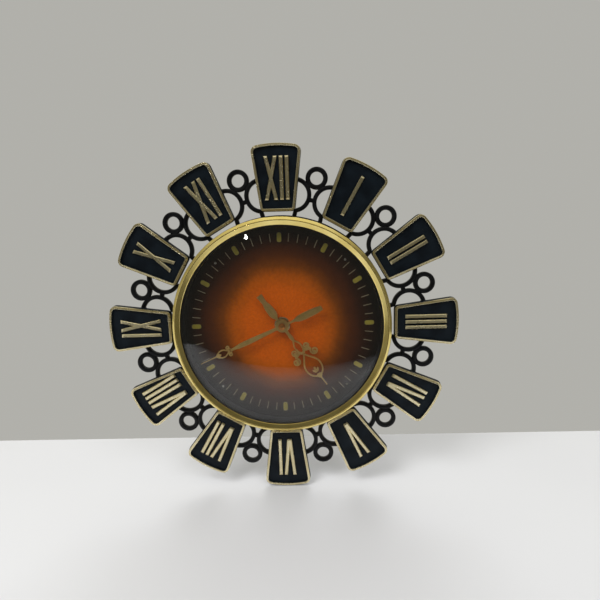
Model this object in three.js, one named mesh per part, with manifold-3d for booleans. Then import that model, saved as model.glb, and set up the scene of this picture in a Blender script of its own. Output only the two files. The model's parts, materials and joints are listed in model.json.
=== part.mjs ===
// Sunburst wall clock: twelve Roman numeral plates on a scrolled ring, round a battery balance movement.
// Millimetres, +Z up. The front faces -Y. The origin is where the wall nail meets the hanging slot.
import * as THREE from "three";
import { mergeVertices } from "three/addons/utils/BufferGeometryUtils.js";
import Module from "manifold-3d";

const wasm = await Module();
wasm.setup();

// Heights are counted from the wall towards the viewer, and radii from the axis of the hands.
const HANG_DROP = 48; // from the nail down to the axis of the hands
const REST_GAP = 0.2; // between pieces that rest on each other
const RUN_GAP = 0.3; // round a shaft or stud in its hole
const DIAL_FACE = 34;
const DIAL_RADIUS = 78.6;
const DIAL_THICK = 0.8;
const DIAL_PIN_CIRCLE = 70.4;
const DIAL_PIN_SHANK = 0.55;
const DIAL_PIN_HOLE = 0.9;
const DIAL_HOLE = 5.2;
const QUARTERS = [45, 135, 225, 315]; // midway between the hours III, VI, IX and XII

const FRAME_BACK = 28.4;
const FRAME_FRONT = 32;
const HUB_INNER = 62;
const HUB_OUTER = 84.4;
const HUB_SEAT = 79; // inside it the ring stands higher, up to the dial
const SCROLL_BAR = 3.3;
const SCROLL_RADIUS = 11.7;
const SCROLL_CENTRE = [14, 99];
const SCROLL_UPPER_END = 84;
const SCROLL_LOWER_END = 250;
const LINK_RING_CENTRE = 114.6;
const LINK_RING_RADIUS = 6.6;
const LINK_RING_BAR = 3.6;
const BRIDGE = { y: 98, half: 3.2, width: 3.2 }; // the short bar that joins two scrolls
const STUD_PAD = 1.9; // metal left round each stud hole
const SECTOR = Math.PI / 6;

const PLATE_BACK = FRAME_FRONT + REST_GAP;
const PLATE_FIELD = 35.4;
const PLATE_RIM = 37.4;
const NUMERAL_FRONT = 36.8;
const NUMERAL_INNER = 95.6;
const NUMERAL_OUTER = 127.2;
const NUMERAL_BAR = 2.7;
const LETTER_WIDTH = 7.1;
const LETTER_GAP = 4.3;
const STUD_RADIUS = 1.3;
const STUD_PLACE = [13.2, 110.8];

const BEZEL_OUTER = 83.6;
const BEZEL_INNER = 77.1;
const BEZEL_FRONT = 48.4;
const BEZEL_WALL = 79.2; // the inside of the bezel, round the glass and its ring
const GLASS_APEX = 50.6;
const GLASS_RIM = 76.8;
const GLASS_FLANGE = { radius: 78.8, back: 44.4, front: 46 };

const CASE_OUTER = 64;
const CASE_WALL = 2;
const CASE_RECESS = 6; // depth of the hollow behind the back wall
const CASE_FLOOR = CASE_RECESS + CASE_WALL;
const FLANGE_OUTER = 74;
const FLANGE_THICK = 2.4;
const KNOB_HOLE = 3.2;
const COVER = { half: 25.6, bottom: -53, top: -27.2, back: 1.2, front: 7.4, wall: 1.2 };
const COVER_ROOM = 1; // between the cover and the edge of its window, at the sides and below
const COVER_BARREL = { radius: 1.4, half: 9 };
const COVER_PIN = { radius: 0.7, half: 11.4, hole: 0.95 };
const HINGE_EAR = { x: 10.6, half: 0.9, radius: 1.8 };
const CASE_SCREW_CIRCLE = 69;
const CASE_SCREW_HOLE = 1.8;
const CASE_SCREW_TURN = 15; // keeps the case screws clear of the dial pins

const BRACKET = { bottom: 35, height: 18, nailHead: 4.6, nailShank: 2.6, drop: 8 };
const bracketScrewPlaces = [[-18.5, 44], [18.5, 44]];

const BACK_PLATE = 10;
const FRONT_PLATE = 24;
const PLATE_METAL = 1.2;
const PILLARS = [[-26, 36], [26, 36], [-26, -20], [26, -20]];

const ARBOR_RADIUS = 1.5;
const PIVOT_RADIUS = 1;
const MOTION_DISTANCE = 12;
const MOTION_ANGLE = -30;
const PINION_TEETH = 8;
const MINUTE_TEETH = 24;
const HOUR_TEETH = 32;
const CENTRE_TEETH = 40;
const THIRD_TEETH = 32;
const STAR_TEETH = 20;
const THIRD_DISTANCE = 18;
const THIRD_ANGLE = 140;
const STAR_DISTANCE = 14;
const STAR_ANGLE = 60;
const BALANCE_DISTANCE = 12;
const BALANCE_ANGLE = -10;

const HOUR_HAND_ANGLE = 144.5; // clockwise from XII, as the hands stand
const MINUTE_HAND_ANGLE = 246.3;
const HOUR_HAND_BACK = 38.4;
const MINUTE_HAND_BACK = 40.2;
const HAND_THICK = 0.7;

const BATTERY_RADIUS = 13.1;
const BATTERY_LENGTH = 50;
const BATTERY_CENTRE = [-40.2, 17]; // up from the axis, and out from the wall
const COVER_HINGE = [-25.2, 2.6]; // up from the axis, and out from the wall

// Finishes.
const finish = (color, roughness, metalness) =>
  new THREE.MeshStandardMaterial({ color, roughness, metalness });
const GOLD = finish(0xcaa75a, 0.3, 0.9);
const BLACK = finish(0x15181c, 0.5, 0.2);
const BRASS = finish(0xb89a55, 0.35, 0.9);
const STEEL = finish(0x9a9c9e, 0.35, 0.9);
const COPPER_DIAL = finish(0xa54b08, 0.4, 0.7);
const CLEAR = new THREE.MeshStandardMaterial({
  color: 0xffffff,
  roughness: 0.05,
  transparent: true,
  opacity: 0.25,
});
const PLASTIC = finish(0x1c1a18, 0.6, 0);
const BOARD = finish(0x8a6a35, 0.6, 0);
const COPPER = finish(0xa8602c, 0.4, 0.8);

const radians = (degrees) => (degrees * Math.PI) / 180;
const polar = (radius, degrees, from = [0, 0]) => [
  from[0] + radius * Math.cos(radians(degrees)),
  from[1] + radius * Math.sin(radians(degrees)),
];

// Solids: three.js shapes made into closed bodies that can be joined and cut.
function solid(geometry) {
  const bare = geometry.clone();
  bare.deleteAttribute("normal");
  bare.deleteAttribute("uv");
  const merged = mergeVertices(bare, 1e-4);
  const vertProperties = new Float32Array(merged.getAttribute("position").array);
  const triVerts = new Uint32Array(merged.index.array);
  const made = new wasm.Manifold(new wasm.Mesh({ numProp: 3, vertProperties, triVerts }));
  if (made.volume() > 0) return made;
  const turned = triVerts.map((_, i) => triVerts[i - (i % 3) + [0, 2, 1][i % 3]]);
  return new wasm.Manifold(new wasm.Mesh({ numProp: 3, vertProperties, triVerts: turned }));
}

function geometryOf(body) {
  const mesh = body.getMesh();
  const places = new Float32Array(mesh.numVert * 3);
  for (let v = 0; v < mesh.numVert; v += 1) {
    places.set(mesh.vertProperties.subarray(v * mesh.numProp, v * mesh.numProp + 3), v * 3);
  }
  const geometry = new THREE.BufferGeometry();
  geometry.setAttribute("position", new THREE.BufferAttribute(places, 3));
  geometry.setIndex(new THREE.BufferAttribute(new Uint32Array(mesh.triVerts), 1));
  geometry.computeVertexNormals();
  return geometry;
}

const join = (bodies) => bodies.reduce((sum, body) => sum.add(body));
const cut = (body, cutters) => cutters.reduce((left, cutter) => left.subtract(cutter), body);

function slab(shape, low, high, curveSegments = 6) {
  const options = { depth: high - low, bevelEnabled: false, curveSegments };
  return solid(new THREE.ExtrudeGeometry(shape, options).translate(0, 0, low));
}

function post(radius, low, high, [x, y] = [0, 0], sides = 16) {
  const cylinder = new THREE.CylinderGeometry(radius, radius, high - low, sides);
  return solid(cylinder.rotateX(Math.PI / 2).translate(x, y, (low + high) / 2));
}

// A turned piece: pairs of radius and height, closed on itself or begun and ended on the axis.
function turned(profile, sides, [x, y] = [0, 0]) {
  const points = profile.map(([radius, height]) => new THREE.Vector2(radius, height));
  return solid(new THREE.LatheGeometry(points, sides).rotateX(Math.PI / 2).translate(x, y, 0));
}

function collar(inner, outer, low, high, sides, place) {
  const profile = [[inner, low], [outer, low], [outer, high], [inner, high], [inner, low]];
  return turned(profile, sides, place);
}

function box([x0, y0, z0], [x1, y1, z1]) {
  const block = new THREE.BoxGeometry(x1 - x0, y1 - y0, z1 - z0);
  return solid(block.translate((x0 + x1) / 2, (y0 + y1) / 2, (z0 + z1) / 2));
}

function polygon(points) {
  return new THREE.Shape(points.map(([x, y]) => new THREE.Vector2(x, y)));
}

// Part of a flat ring, from one angle to another.
function arcBand(centre, radius, width, from, to, steps) {
  const angles = Array.from({ length: steps + 1 }, (_, i) => from + ((to - from) * i) / steps);
  const outside = angles.map((angle) => polar(radius + width / 2, angle, centre));
  const inside = angles.map((angle) => polar(radius - width / 2, angle, centre)).reverse();
  return polygon([...outside, ...inside]);
}

// A straight bar between two points.
function bar(from, to, width) {
  const along = new THREE.Vector2(to[0] - from[0], to[1] - from[1]).normalize();
  const side = [(-along.y * width) / 2, (along.x * width) / 2];
  return polygon([
    [from[0] + side[0], from[1] + side[1]],
    [from[0] - side[0], from[1] - side[1]],
    [to[0] - side[0], to[1] - side[1]],
    [to[0] + side[0], to[1] + side[1]],
  ]);
}

// A closed outline with its corners rounded.
function rounded(corners, radius) {
  const shape = new THREE.Shape();
  corners.forEach(([x, y], i) => {
    const corner = new THREE.Vector2(x, y);
    const before = new THREE.Vector2(...corners.at(i - 1));
    const after = new THREE.Vector2(...corners[(i + 1) % corners.length]);
    const enter = corner.clone().add(before.sub(corner).setLength(radius));
    const leave = corner.clone().add(after.sub(corner).setLength(radius));
    if (i === 0) shape.moveTo(enter.x, enter.y);
    else shape.lineTo(enter.x, enter.y);
    shape.quadraticCurveTo(x, y, leave.x, leave.y);
  });
  shape.closePath();
  return shape;
}

// A spur gear outline with plain sloping teeth; `phase` is the angle of one tooth in degrees.
function gear(teeth, pitchRadius, phase, centre = [0, 0]) {
  const module = (2 * pitchRadius) / teeth;
  const root = pitchRadius - 1.2 * module;
  const tip = pitchRadius + 0.75 * module;
  const pitch = 360 / teeth;
  const points = [];
  for (let i = 0; i < teeth; i += 1) {
    const angle = phase + i * pitch;
    points.push(polar(root, angle - 0.3 * pitch, centre));
    points.push(polar(tip, angle - 0.1 * pitch, centre));
    points.push(polar(tip, angle + 0.1 * pitch, centre));
    points.push(polar(root, angle + 0.3 * pitch, centre));
  }
  return polygon(points);
}

const clock = new THREE.Group();
clock.rotation.x = Math.PI / 2;
clock.position.z = -HANG_DROP;

function add(name, body, material) {
  const mesh = new THREE.Mesh(geometryOf(body), material.clone());
  mesh.name = name;
  clock.add(mesh);
  return mesh;
}

// The cast ring and scrollwork that carries the plates, the bezel and the case.
const hubProfile = [
  [HUB_INNER, FRAME_BACK],
  [HUB_OUTER, FRAME_BACK],
  [HUB_OUTER, FRAME_FRONT],
  [HUB_SEAT, FRAME_FRONT],
  [HUB_SEAT, DIAL_FACE - DIAL_THICK - REST_GAP],
  [HUB_INNER, DIAL_FACE - DIAL_THICK - REST_GAP],
  [HUB_INNER, FRAME_BACK],
];

function scroll(side) {
  const mirrored = (angle) => (side > 0 ? angle : 180 - angle);
  const centre = [side * SCROLL_CENTRE[0], SCROLL_CENTRE[1]];
  const steps = 7;
  const angles = Array.from({ length: steps + 1 }, (_, i) =>
    mirrored(SCROLL_UPPER_END + ((SCROLL_LOWER_END - SCROLL_UPPER_END) * i) / steps));
  const outside = angles.map((angle) => polar(SCROLL_RADIUS + SCROLL_BAR / 2, angle, centre));
  const inside = angles.map((angle) => polar(SCROLL_RADIUS - SCROLL_BAR / 2, angle, centre)).reverse();
  const foot = [8.2, 12].map((x) => [side * x, HUB_OUTER - 2.4]);
  return slab(polygon([...outside, ...foot, ...inside]), FRAME_BACK, FRAME_FRONT);
}

function scrollwork() {
  const ring = collar(LINK_RING_RADIUS - LINK_RING_BAR / 2, LINK_RING_RADIUS + LINK_RING_BAR / 2,
    FRAME_BACK, FRAME_FRONT, 14, [0, LINK_RING_CENTRE]);
  const bridgeOutline = bar([-BRIDGE.half, BRIDGE.y], [BRIDGE.half, BRIDGE.y], BRIDGE.width);
  const bridge = slab(bridgeOutline, FRAME_BACK, FRAME_FRONT);
  return join([scroll(1), scroll(-1), ring, bridge]);
}

const studPlaces = [-1, 1].map((side) => [side * STUD_PLACE[0], STUD_PLACE[1]]);
const turnedPlace = ([x, y], angle) => [
  x * Math.cos(angle) + y * Math.sin(angle),
  y * Math.cos(angle) - x * Math.sin(angle),
];
const dialPinPlaces = QUARTERS.map((angle) => polar(DIAL_PIN_CIRCLE, angle));
const caseScrewPlaces = QUARTERS.map((angle) => polar(CASE_SCREW_CIRCLE, angle + CASE_SCREW_TURN));

function sunburstFrame() {
  const pieces = [turned(hubProfile, 48)];
  const cutters = [];
  const sector = scrollwork();
  for (let k = 0; k < 12; k += 1) {
    pieces.push(sector.rotate([0, 0, 15 + 30 * k]));
    for (const place of studPlaces) {
      const at = turnedPlace(place, k * SECTOR);
      pieces.push(post(STUD_RADIUS + STUD_PAD, FRAME_BACK, FRAME_FRONT, at, 6));
      cutters.push(post(STUD_RADIUS + RUN_GAP, FRAME_BACK - 1, FRAME_FRONT + 1, at, 6));
    }
  }
  for (const place of caseScrewPlaces) cutters.push(post(CASE_SCREW_HOLE, FRAME_BACK - 1, 31.6, place, 6));
  for (const place of dialPinPlaces) cutters.push(post(DIAL_PIN_HOLE, 30, DIAL_FACE, place, 6));
  return cut(join(pieces), cutters);
}

// One numeral plate: a tray with a raised rim, a numeral in relief, and two studs behind.
const plateOutline = rounded([[-13, 87], [13, 87], [19.3, 134.6], [0, 137], [-19.3, 134.6]], 4.8);
const fieldOutline = rounded([[-11.2, 89], [11.2, 89], [16.7, 132.2], [0, 134.6], [-16.7, 132.2]], 3.2);
const NUMERALS = ["I", "II", "III", "IV", "V", "VI", "VII", "VIII", "IX", "X", "XI", "XII"];

// The bars of one numeral, each from its inner end to its outer end.
function numeralBars(letters) {
  const widths = [...letters].map((letter) => (letter === "I" ? 0 : LETTER_WIDTH));
  const total = widths.reduce((sum, width) => sum + width, 0) + LETTER_GAP * (letters.length - 1);
  const bars = [];
  let left = -total / 2;
  [...letters].forEach((letter, i) => {
    const right = left + widths[i];
    const middle = (left + right) / 2;
    const ends = {
      I: [[left, left]],
      V: [[middle - 0.5, left], [middle + 0.5, right]],
      X: [[right, left], [left, right]],
    };
    ends[letter].forEach(([inner, outer]) => bars.push([[inner, NUMERAL_INNER], [outer, NUMERAL_OUTER]]));
    left = right + LETTER_GAP;
  });
  return bars;
}

function barSlab([[innerX, innerY], [outerX, outerY]]) {
  const half = NUMERAL_BAR / 2;
  const shape = polygon([
    [innerX - half, innerY], [innerX + half, innerY], [outerX + half, outerY], [outerX - half, outerY],
  ]);
  return slab(shape, PLATE_FIELD - 0.4, NUMERAL_FRONT);
}

function numeralPlate(letters, angle) {
  const field = slab(fieldOutline, PLATE_FIELD, PLATE_RIM + 1, 2);
  const tray = slab(plateOutline, PLATE_BACK, PLATE_RIM, 2).subtract(field);
  const studs = studPlaces.map((place) => post(STUD_RADIUS, FRAME_BACK + 0.4, PLATE_BACK + 0.4, place, 6));
  const plate = join([tray, ...numeralBars(letters).map(barSlab), ...studs]);
  return plate.rotate([0, 0, -angle]);
}

// The bezel, its glass, and the ring that holds the glass and hides the edge of the dial.
const bezelProfile = [
  [BEZEL_WALL, PLATE_BACK],
  [BEZEL_OUTER, PLATE_BACK],
  [BEZEL_OUTER, 45],
  [82.7, 47.4],
  [81.2, BEZEL_FRONT],
  [80, 47.7],
  [79.4, 48.2],
  [77.6, 47.8],
  [BEZEL_INNER, 46.6],
  [BEZEL_WALL, 46.1],
  [BEZEL_WALL, PLATE_BACK],
];

function dome(rim, low, high, steps) {
  return Array.from({ length: steps + 1 }, (_, i) => {
    const across = 1 - i / steps;
    return [rim * across, low + (high - low) * (1 - across * across)];
  });
}

function glass() {
  const { radius, back, front } = GLASS_FLANGE;
  const outer = dome(GLASS_RIM, front, GLASS_APEX, 3);
  const inner = dome(GLASS_RIM - 1.8, back, GLASS_APEX - 1.7, 3).reverse();
  return turned([...inner, [radius, back], [radius, front], ...outer], 40);
}

function dial() {
  const holes = dialPinPlaces.map((place) => post(DIAL_PIN_HOLE, 30, 40, place, 6));
  holes.push(post(DIAL_HOLE, 30, 40, [0, 0], 12));
  return cut(post(DIAL_RADIUS, DIAL_FACE - DIAL_THICK, DIAL_FACE, [0, 0], 48), holes);
}

function dialPin(place) {
  const head = post(0.95, DIAL_FACE + REST_GAP, DIAL_FACE + 0.8, place, 6);
  return head.add(post(DIAL_PIN_SHANK, 30.6, DIAL_FACE + 0.3, place, 6));
}

// The case: a drum with a flange in front, a recessed back wall and a door for the battery.
const thirdPlace = polar(THIRD_DISTANCE, THIRD_ANGLE);
const starPlace = polar(STAR_DISTANCE, STAR_ANGLE, thirdPlace);
const balancePlace = polar(BALANCE_DISTANCE, BALANCE_ANGLE, starPlace);
const motionPlace = polar(MOTION_DISTANCE, MOTION_ANGLE);
const REGULATOR_REACH = 11;
const REGULATOR_SLOT = 3.4;
const REGULATOR_BACK = 8.5;
const REGULATOR_FRONT = 9.6;

function backCase() {
  const inner = CASE_OUTER - CASE_WALL;
  const front = FRAME_BACK - REST_GAP;
  const drum = turned([
    [0, CASE_RECESS], [inner, CASE_RECESS], [inner, 0], [CASE_OUTER, 0], [CASE_OUTER, front - FLANGE_THICK],
    [FLANGE_OUTER, front - FLANGE_THICK], [FLANGE_OUTER, front], [inner, front],
    [inner, CASE_FLOOR], [0, CASE_FLOOR],
  ], 40);
  const windowHalf = COVER.half + COVER_ROOM;
  const bosses = PILLARS.map((place) => post(3, CASE_FLOOR - 0.2, BACK_PLATE - REST_GAP, place, 6));
  const lugs = [-HINGE_EAR.x, HINGE_EAR.x].map((x) => hingeLug(x));
  const cutters = [
    post(KNOB_HOLE, 0, 12, [0, 0], 10),
    box([-windowHalf, COVER.bottom - COVER_ROOM, 4], [windowHalf, COVER_HINGE[0] - 1.4, 12]),
    slab(arcBand(balancePlace, REGULATOR_REACH, REGULATOR_SLOT, -30, 30, 4), 4, 12),
    ...caseScrewPlaces.map((place) => post(CASE_SCREW_HOLE, 20, 30, place, 6)),
    ...bracketScrewPlaces.map((place) => post(1.5, 4, 12, place, 6)),
  ];
  return cut(join([drum, ...bosses]), cutters).add(join(lugs));
}

// An ear that holds the end of the battery cover's pin, standing on the back wall.
function hingeLug(x) {
  const [y, z] = COVER_HINGE;
  const { half, radius } = HINGE_EAR;
  const ear = box([x - half, y - 0.4, z], [x + half, y + radius, CASE_RECESS + 0.4]);
  const round = crossPost(radius, x - half, x + half, y, z, 10);
  return ear.add(round).subtract(crossPost(COVER_PIN.hole, x - 2, x + 2, y, z, 8));
}

function crossPost(radius, from, to, y, z, sides) {
  const cylinder = new THREE.CylinderGeometry(radius, radius, to - from, sides);
  return solid(cylinder.rotateZ(Math.PI / 2).translate((from + to) / 2, y, z));
}

function batteryCover() {
  const [y, z] = COVER_HINGE;
  const { half, bottom, top, back, front, wall } = COVER;
  const shell = box([-half, bottom, back], [half, top, front]);
  const hollow = box([wall - half, bottom + wall, back + wall], [half - wall, top - wall, front + 1]);
  const web = box([-COVER_BARREL.half, top - 0.2, back], [COVER_BARREL.half, y, z]);
  const barrel = crossPost(COVER_BARREL.radius, -COVER_BARREL.half, COVER_BARREL.half, y, z, 10).add(web);
  return shell.subtract(hollow).add(barrel).subtract(crossPost(COVER_PIN.hole, -30, 30, y, z, 8));
}

function hangingBracket() {
  const side = [[14, 0.3], [15.2, 1.6], [15.2, 4.6], [22, 4.6], [22, 5.8], [14, 5.8], [14, 1.5]];
  const outline = [...side, ...side.map(([x, z]) => [-x, z]).reverse()];
  const { bottom, height, nailHead, nailShank } = BRACKET;
  const strip = new THREE.ExtrudeGeometry(polygon(outline), { depth: height, bevelEnabled: false });
  const bracket = solid(strip.rotateX(-Math.PI / 2).scale(1, 1, -1).translate(0, bottom, 0));
  const nailEntry = [0, HANG_DROP - BRACKET.drop];
  const nailHole = post(nailHead, -2, 3, nailEntry, 14);
  const slot = slab(bar(nailEntry, [0, HANG_DROP], 2 * nailShank), -2, 3);
  const slotEnd = post(nailShank, -2, 3, [0, HANG_DROP], 12);
  const screwHoles = bracketScrewPlaces.map((place) => post(1.5, 3, 9, place, 8));
  return cut(bracket, [nailHole, slot, slotEnd, ...screwHoles]);
}

function screw(place, headLow, headHigh, tip, headRadius) {
  const towards = Math.sign(tip - headLow);
  const head = cut(post(headRadius, headLow, headHigh, place, 8), [
    box([place[0] - 4, place[1] - 0.4, headLow - 0.1], [place[0] + 4, place[1] + 0.4, headLow + 0.5]),
  ]);
  return head.add(post(1.2, headHigh - 0.2 * towards, tip, place, 6));
}

// The movement: two plates on pillars, the train, the motion work and the balance.
function movementPlate(low, holes) {
  const shape = rounded([[-30, -24], [30, -24], [30, 40], [-30, 40]], 4);
  const cutters = holes.map(([place, radius]) => post(radius, low - 1, low + PLATE_METAL + 1, place, 8));
  return cut(slab(shape, low, low + PLATE_METAL, 2), cutters);
}

const arborHoles = [
  [[0, 0], ARBOR_RADIUS + RUN_GAP],
  [thirdPlace, PIVOT_RADIUS + RUN_GAP],
  [starPlace, PIVOT_RADIUS + RUN_GAP],
  [balancePlace, PIVOT_RADIUS + RUN_GAP],
];

function pillar(place) {
  const shoulder = post(2, BACK_PLATE + PLATE_METAL + REST_GAP, FRONT_PLATE - REST_GAP, place, 8);
  const tails = post(1.1, BACK_PLATE + 0.2, FRONT_PLATE + PLATE_METAL + 0.6, place, 6);
  return shoulder.add(tails);
}

function centreWheel() {
  const wheel = cut(slab(gear(CENTRE_TEETH, 15, THIRD_ANGLE), 12, 13.2), spokeGaps(4.5, 11.6));
  return wheel.add(post(ARBOR_RADIUS, 4.4, 42.2, [0, 0], 12)).add(post(3, 12.2, 15, [0, 0], 8));
}

const arbor = (place) => post(PIVOT_RADIUS, BACK_PLATE + 0.2, FRONT_PLATE + 1, place, 8);

// Four openings between the spokes of a wheel.
function spokeGaps(inner, outer) {
  return QUARTERS.map((angle) => {
    const middle = (inner + outer) / 2;
    return slab(arcBand([0, 0], middle, outer - inner, angle - 32, angle + 32, 2), 0, 40);
  });
}

function thirdWheel() {
  const toCentre = THIRD_ANGLE + 180;
  const pinion = gear(PINION_TEETH, 3, toCentre + 180 / PINION_TEETH, thirdPlace);
  const wheel = gear(THIRD_TEETH, 11.2, STAR_ANGLE, thirdPlace);
  return join([slab(pinion, 11.8, 16.1), slab(wheel, 16, 17), arbor(thirdPlace)]);
}

function starWheel() {
  const toThird = STAR_ANGLE + 180;
  const pinion = gear(PINION_TEETH, 2.8, toThird + 180 / PINION_TEETH, starPlace);
  const points = [];
  for (let i = 0; i < STAR_TEETH; i += 1) {
    const angle = (i * 360) / STAR_TEETH;
    points.push(polar(8.8, angle, starPlace));
    points.push(polar(7.2, angle + 4, starPlace));
  }
  return join([slab(pinion, 15.6, 18.3), slab(polygon(points), 18.2, 19.2), arbor(starPlace)]);
}

function balanceWheel() {
  const rim = collar(6.3, 9.5, 20.4, 22, 20, balancePlace);
  const [x, y] = balancePlace;
  const arms = slab(bar([x - 7, y], [x + 7, y], 2.4), 20.4, 22);
  const hub = post(1.8, 20.2, 23, balancePlace, 10);
  const roller = post(2.5, 17.8, 19.2, balancePlace, 10);
  return join([rim, arms, hub, roller, arbor(balancePlace)]);
}

function hairspring() {
  const turns = 2.2;
  const steps = 22;
  const outside = [];
  const inside = [];
  for (let i = 0; i <= steps; i += 1) {
    const angle = (360 * turns * i) / steps;
    const radius = 2.5 + (3 * i) / steps;
    outside.push(polar(radius + 0.15, angle, balancePlace));
    inside.push(polar(radius - 0.15, angle, balancePlace));
  }
  const spiral = slab(polygon([...outside, ...inside.reverse()]), 22.4, 23.1);
  return spiral.add(post(0.45, 22.4, FRONT_PLATE - REST_GAP, polar(5.35, 360 * turns, balancePlace), 6));
}

function regulatorLever() {
  const reach = REGULATOR_REACH;
  const [x, y] = balancePlace;
  const ring = collar(2.7, 4.6, REGULATOR_BACK, REGULATOR_FRONT, 12, balancePlace);
  const arm = slab(bar([x + 3.4, y], [x + reach, y], 2.2), REGULATOR_BACK, REGULATOR_FRONT);
  return join([ring, arm, post(1.2, 3.2, REGULATOR_FRONT, [x + reach, y], 8)]);
}

function cannonPinion() {
  const pinion = slab(gear(PINION_TEETH, 3, MOTION_ANGLE), 26.2, 28);
  const pipe = collar(ARBOR_RADIUS + 0.15, 2.1, 26, MINUTE_HAND_BACK - REST_GAP, 12);
  const bore = post(ARBOR_RADIUS + 0.15, 20, 45, [0, 0], 12);
  return pinion.subtract(bore).add(pipe);
}

function minuteWheel() {
  const toCentre = MOTION_ANGLE + 180;
  const wheel = gear(MINUTE_TEETH, 9, toCentre + 180 / MINUTE_TEETH, motionPlace);
  const pinion = gear(PINION_TEETH, 2.4, toCentre, motionPlace);
  const stem = post(PIVOT_RADIUS, 23, 31.6, motionPlace, 8);
  return join([slab(wheel, 26.4, 27.6), slab(pinion, 27.4, 30.6), stem]);
}

function hourWheel() {
  const wheel = slab(gear(HOUR_TEETH, 9.6, MOTION_ANGLE + 180 / HOUR_TEETH), 29, 30.2);
  const pipe = post(3.5, 29, HOUR_HAND_BACK - REST_GAP, [0, 0], 12);
  return wheel.add(pipe).subtract(post(2.5, 20, 45, [0, 0], 12));
}

// The hands, drawn pointing up: a scrolled head, a centre boss and a paddle tail.
function loop(centre, radii, width, low, high, sides) {
  const ellipse = (grow) => Array.from({ length: sides }, (_, i) => {
    const angle = (2 * Math.PI * i) / sides;
    return [
      centre[0] + (radii[0] + grow) * Math.cos(angle),
      centre[1] + (radii[1] + grow) * Math.sin(angle),
    ];
  });
  const outside = slab(polygon(ellipse(width / 2)), low, high);
  const inside = slab(polygon(ellipse(-width / 2)), low - 1, high + 1);
  return outside.subtract(inside);
}

function paddle(points, low, high) {
  return slab(polygon([...points, ...points.map(([x, y]) => [-x, y]).reverse()]), low, high);
}

function handWith(pieces, low, pipeRadius, bossRadius) {
  const boss = post(bossRadius, low, low + HAND_THICK, [0, 0], 16);
  const bore = post(pipeRadius, low - 1, low + 3, [0, 0], 12);
  return join([boss, ...pieces]).subtract(bore);
}

function hourHand() {
  const low = HOUR_HAND_BACK;
  const high = low + HAND_THICK;
  const pieces = [
    paddle([[1, 3], [0.9, 10], [1.6, 13], [1, 17]], low, high),
    loop([0, 19.6], [2.9, 4.6], 1.2, low, high, 10),
    loop([0, 39.5], [7.4, 10.4], 1.2, low, high, 16),
    paddle([[2.4, 43], [0.8, 45.5], [2.8, 48.6], [0.7, 51], [0.45, 59.2]], low, high),
    paddle([[1.1, -3], [1, -8], [3, -11.5], [3, -18.5], [1.9, -21], [2.4, -29.2]], low, high),
  ];
  for (const side of [-1, 1]) {
    pieces.push(loop([side * 4.6, 24.4], [3, 3.2], 1.2, low, high, 8));
    pieces.push(loop([side * 8.4, 30.6], [3.3, 3.5], 1.2, low, high, 8));
  }
  return handWith(pieces, low, 2.6, 5.2);
}

function minuteHand() {
  const low = MINUTE_HAND_BACK;
  const high = low + HAND_THICK;
  const pieces = [
    paddle([[1, 3], [1.2, 14], [1.9, 26], [1.9, 36], [1, 45]], low, high),
    loop([0, 51], [3, 4.2], 1.1, low, high, 10),
    paddle([[1.6, 44], [2.4, 46], [1.4, 47.6]], low, high),
    paddle([[1.4, 54], [2.3, 55.6], [0.6, 57.4], [0.4, 71]], low, high),
    paddle([[0.9, -3], [0.8, -12], [2.6, -16], [2.8, -24], [2.2, -32], [1.6, -34.4]], low, high),
  ];
  for (const side of [-1, 1]) pieces.push(loop([side * 3.4, 45.6], [1.8, 2], 1.1, low, high, 7));
  return handWith(pieces, low, ARBOR_RADIUS + 0.15, 4.6);
}

function handNut() {
  const bore = ARBOR_RADIUS + 0.2;
  const dished = [[0, 42.4], [bore, 42.4], [bore, 41.2], [2.7, 41.2], [2.7, 42.4], [1.9, 43.4], [0, 43.7]];
  return turned(dished, 16);
}

function dialBush() {
  return turned([[4, 32.6], [4.8, 32.6], [4.8, 34.2], [6.4, 34.2], [6.2, 35.1], [4, 35.3], [4, 32.6]], 16);
}

function setKnob() {
  const points = Array.from({ length: 32 }, (_, i) => polar(i % 4 < 2 ? 8 : 7.4, i * 11.25));
  return slab(polygon(points), 0.8, 4.2);
}

// The battery, its trough and contacts, and the drive coil with its circuit.
function battery() {
  const [y, z] = BATTERY_CENTRE;
  const half = BATTERY_LENGTH / 2;
  const cell = crossPost(BATTERY_RADIUS, -half + 0.6, half - 2, y, z, 18);
  return cell.add(crossPost(3.2, 0, half, y, z, 8));
}

function batteryTrough() {
  const [y, z] = BATTERY_CENTRE;
  const section = arcBand([y, z], BATTERY_RADIUS + 0.9, 1.1, -15, 195, 12);
  const strip = new THREE.ExtrudeGeometry(section, { depth: 46, bevelEnabled: false });
  strip.applyMatrix4(new THREE.Matrix4().set(0, 0, 1, -23, 1, 0, 0, 0, 0, 1, 0, 0, 0, 0, 0, 1));
  return solid(strip);
}

function batteryContact(side) {
  const [y, z] = BATTERY_CENTRE;
  const blade = box([side * 26 - 0.3, y - 5, z - 5], [side * 26 + 0.3, y + 5, z + 12]);
  return blade.add(box([side * 26 - 0.9, y - 2, z - 2], [side * 26 + 0.9, y + 2, z + 2]));
}

const coilPlace = polar(8.4, 30, balancePlace);

function driveCoil() {
  const winding = post(3.8, 15.4, 19, coilPlace, 12);
  const cheeks = [[14.8, 15.6], [18.8, 19.6]].map(([low, high]) => post(4.5, low, high, coilPlace, 12));
  return join([winding, ...cheeks]);
}

function circuitBoard() {
  const foot = BACK_PLATE + PLATE_METAL + REST_GAP;
  const legs = [[20, 25], [20, 35]].map((place) => post(1.2, foot, 13.8, place, 8));
  const parts = [box([17.4, 24, 14.4], [22, 28, 16.8]), post(1.4, 14.4, 18, [19.5, 32], 10)];
  return join([box([8, 22, 13.6], [23.4, 38, 14.5]), ...legs, ...parts]);
}

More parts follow.
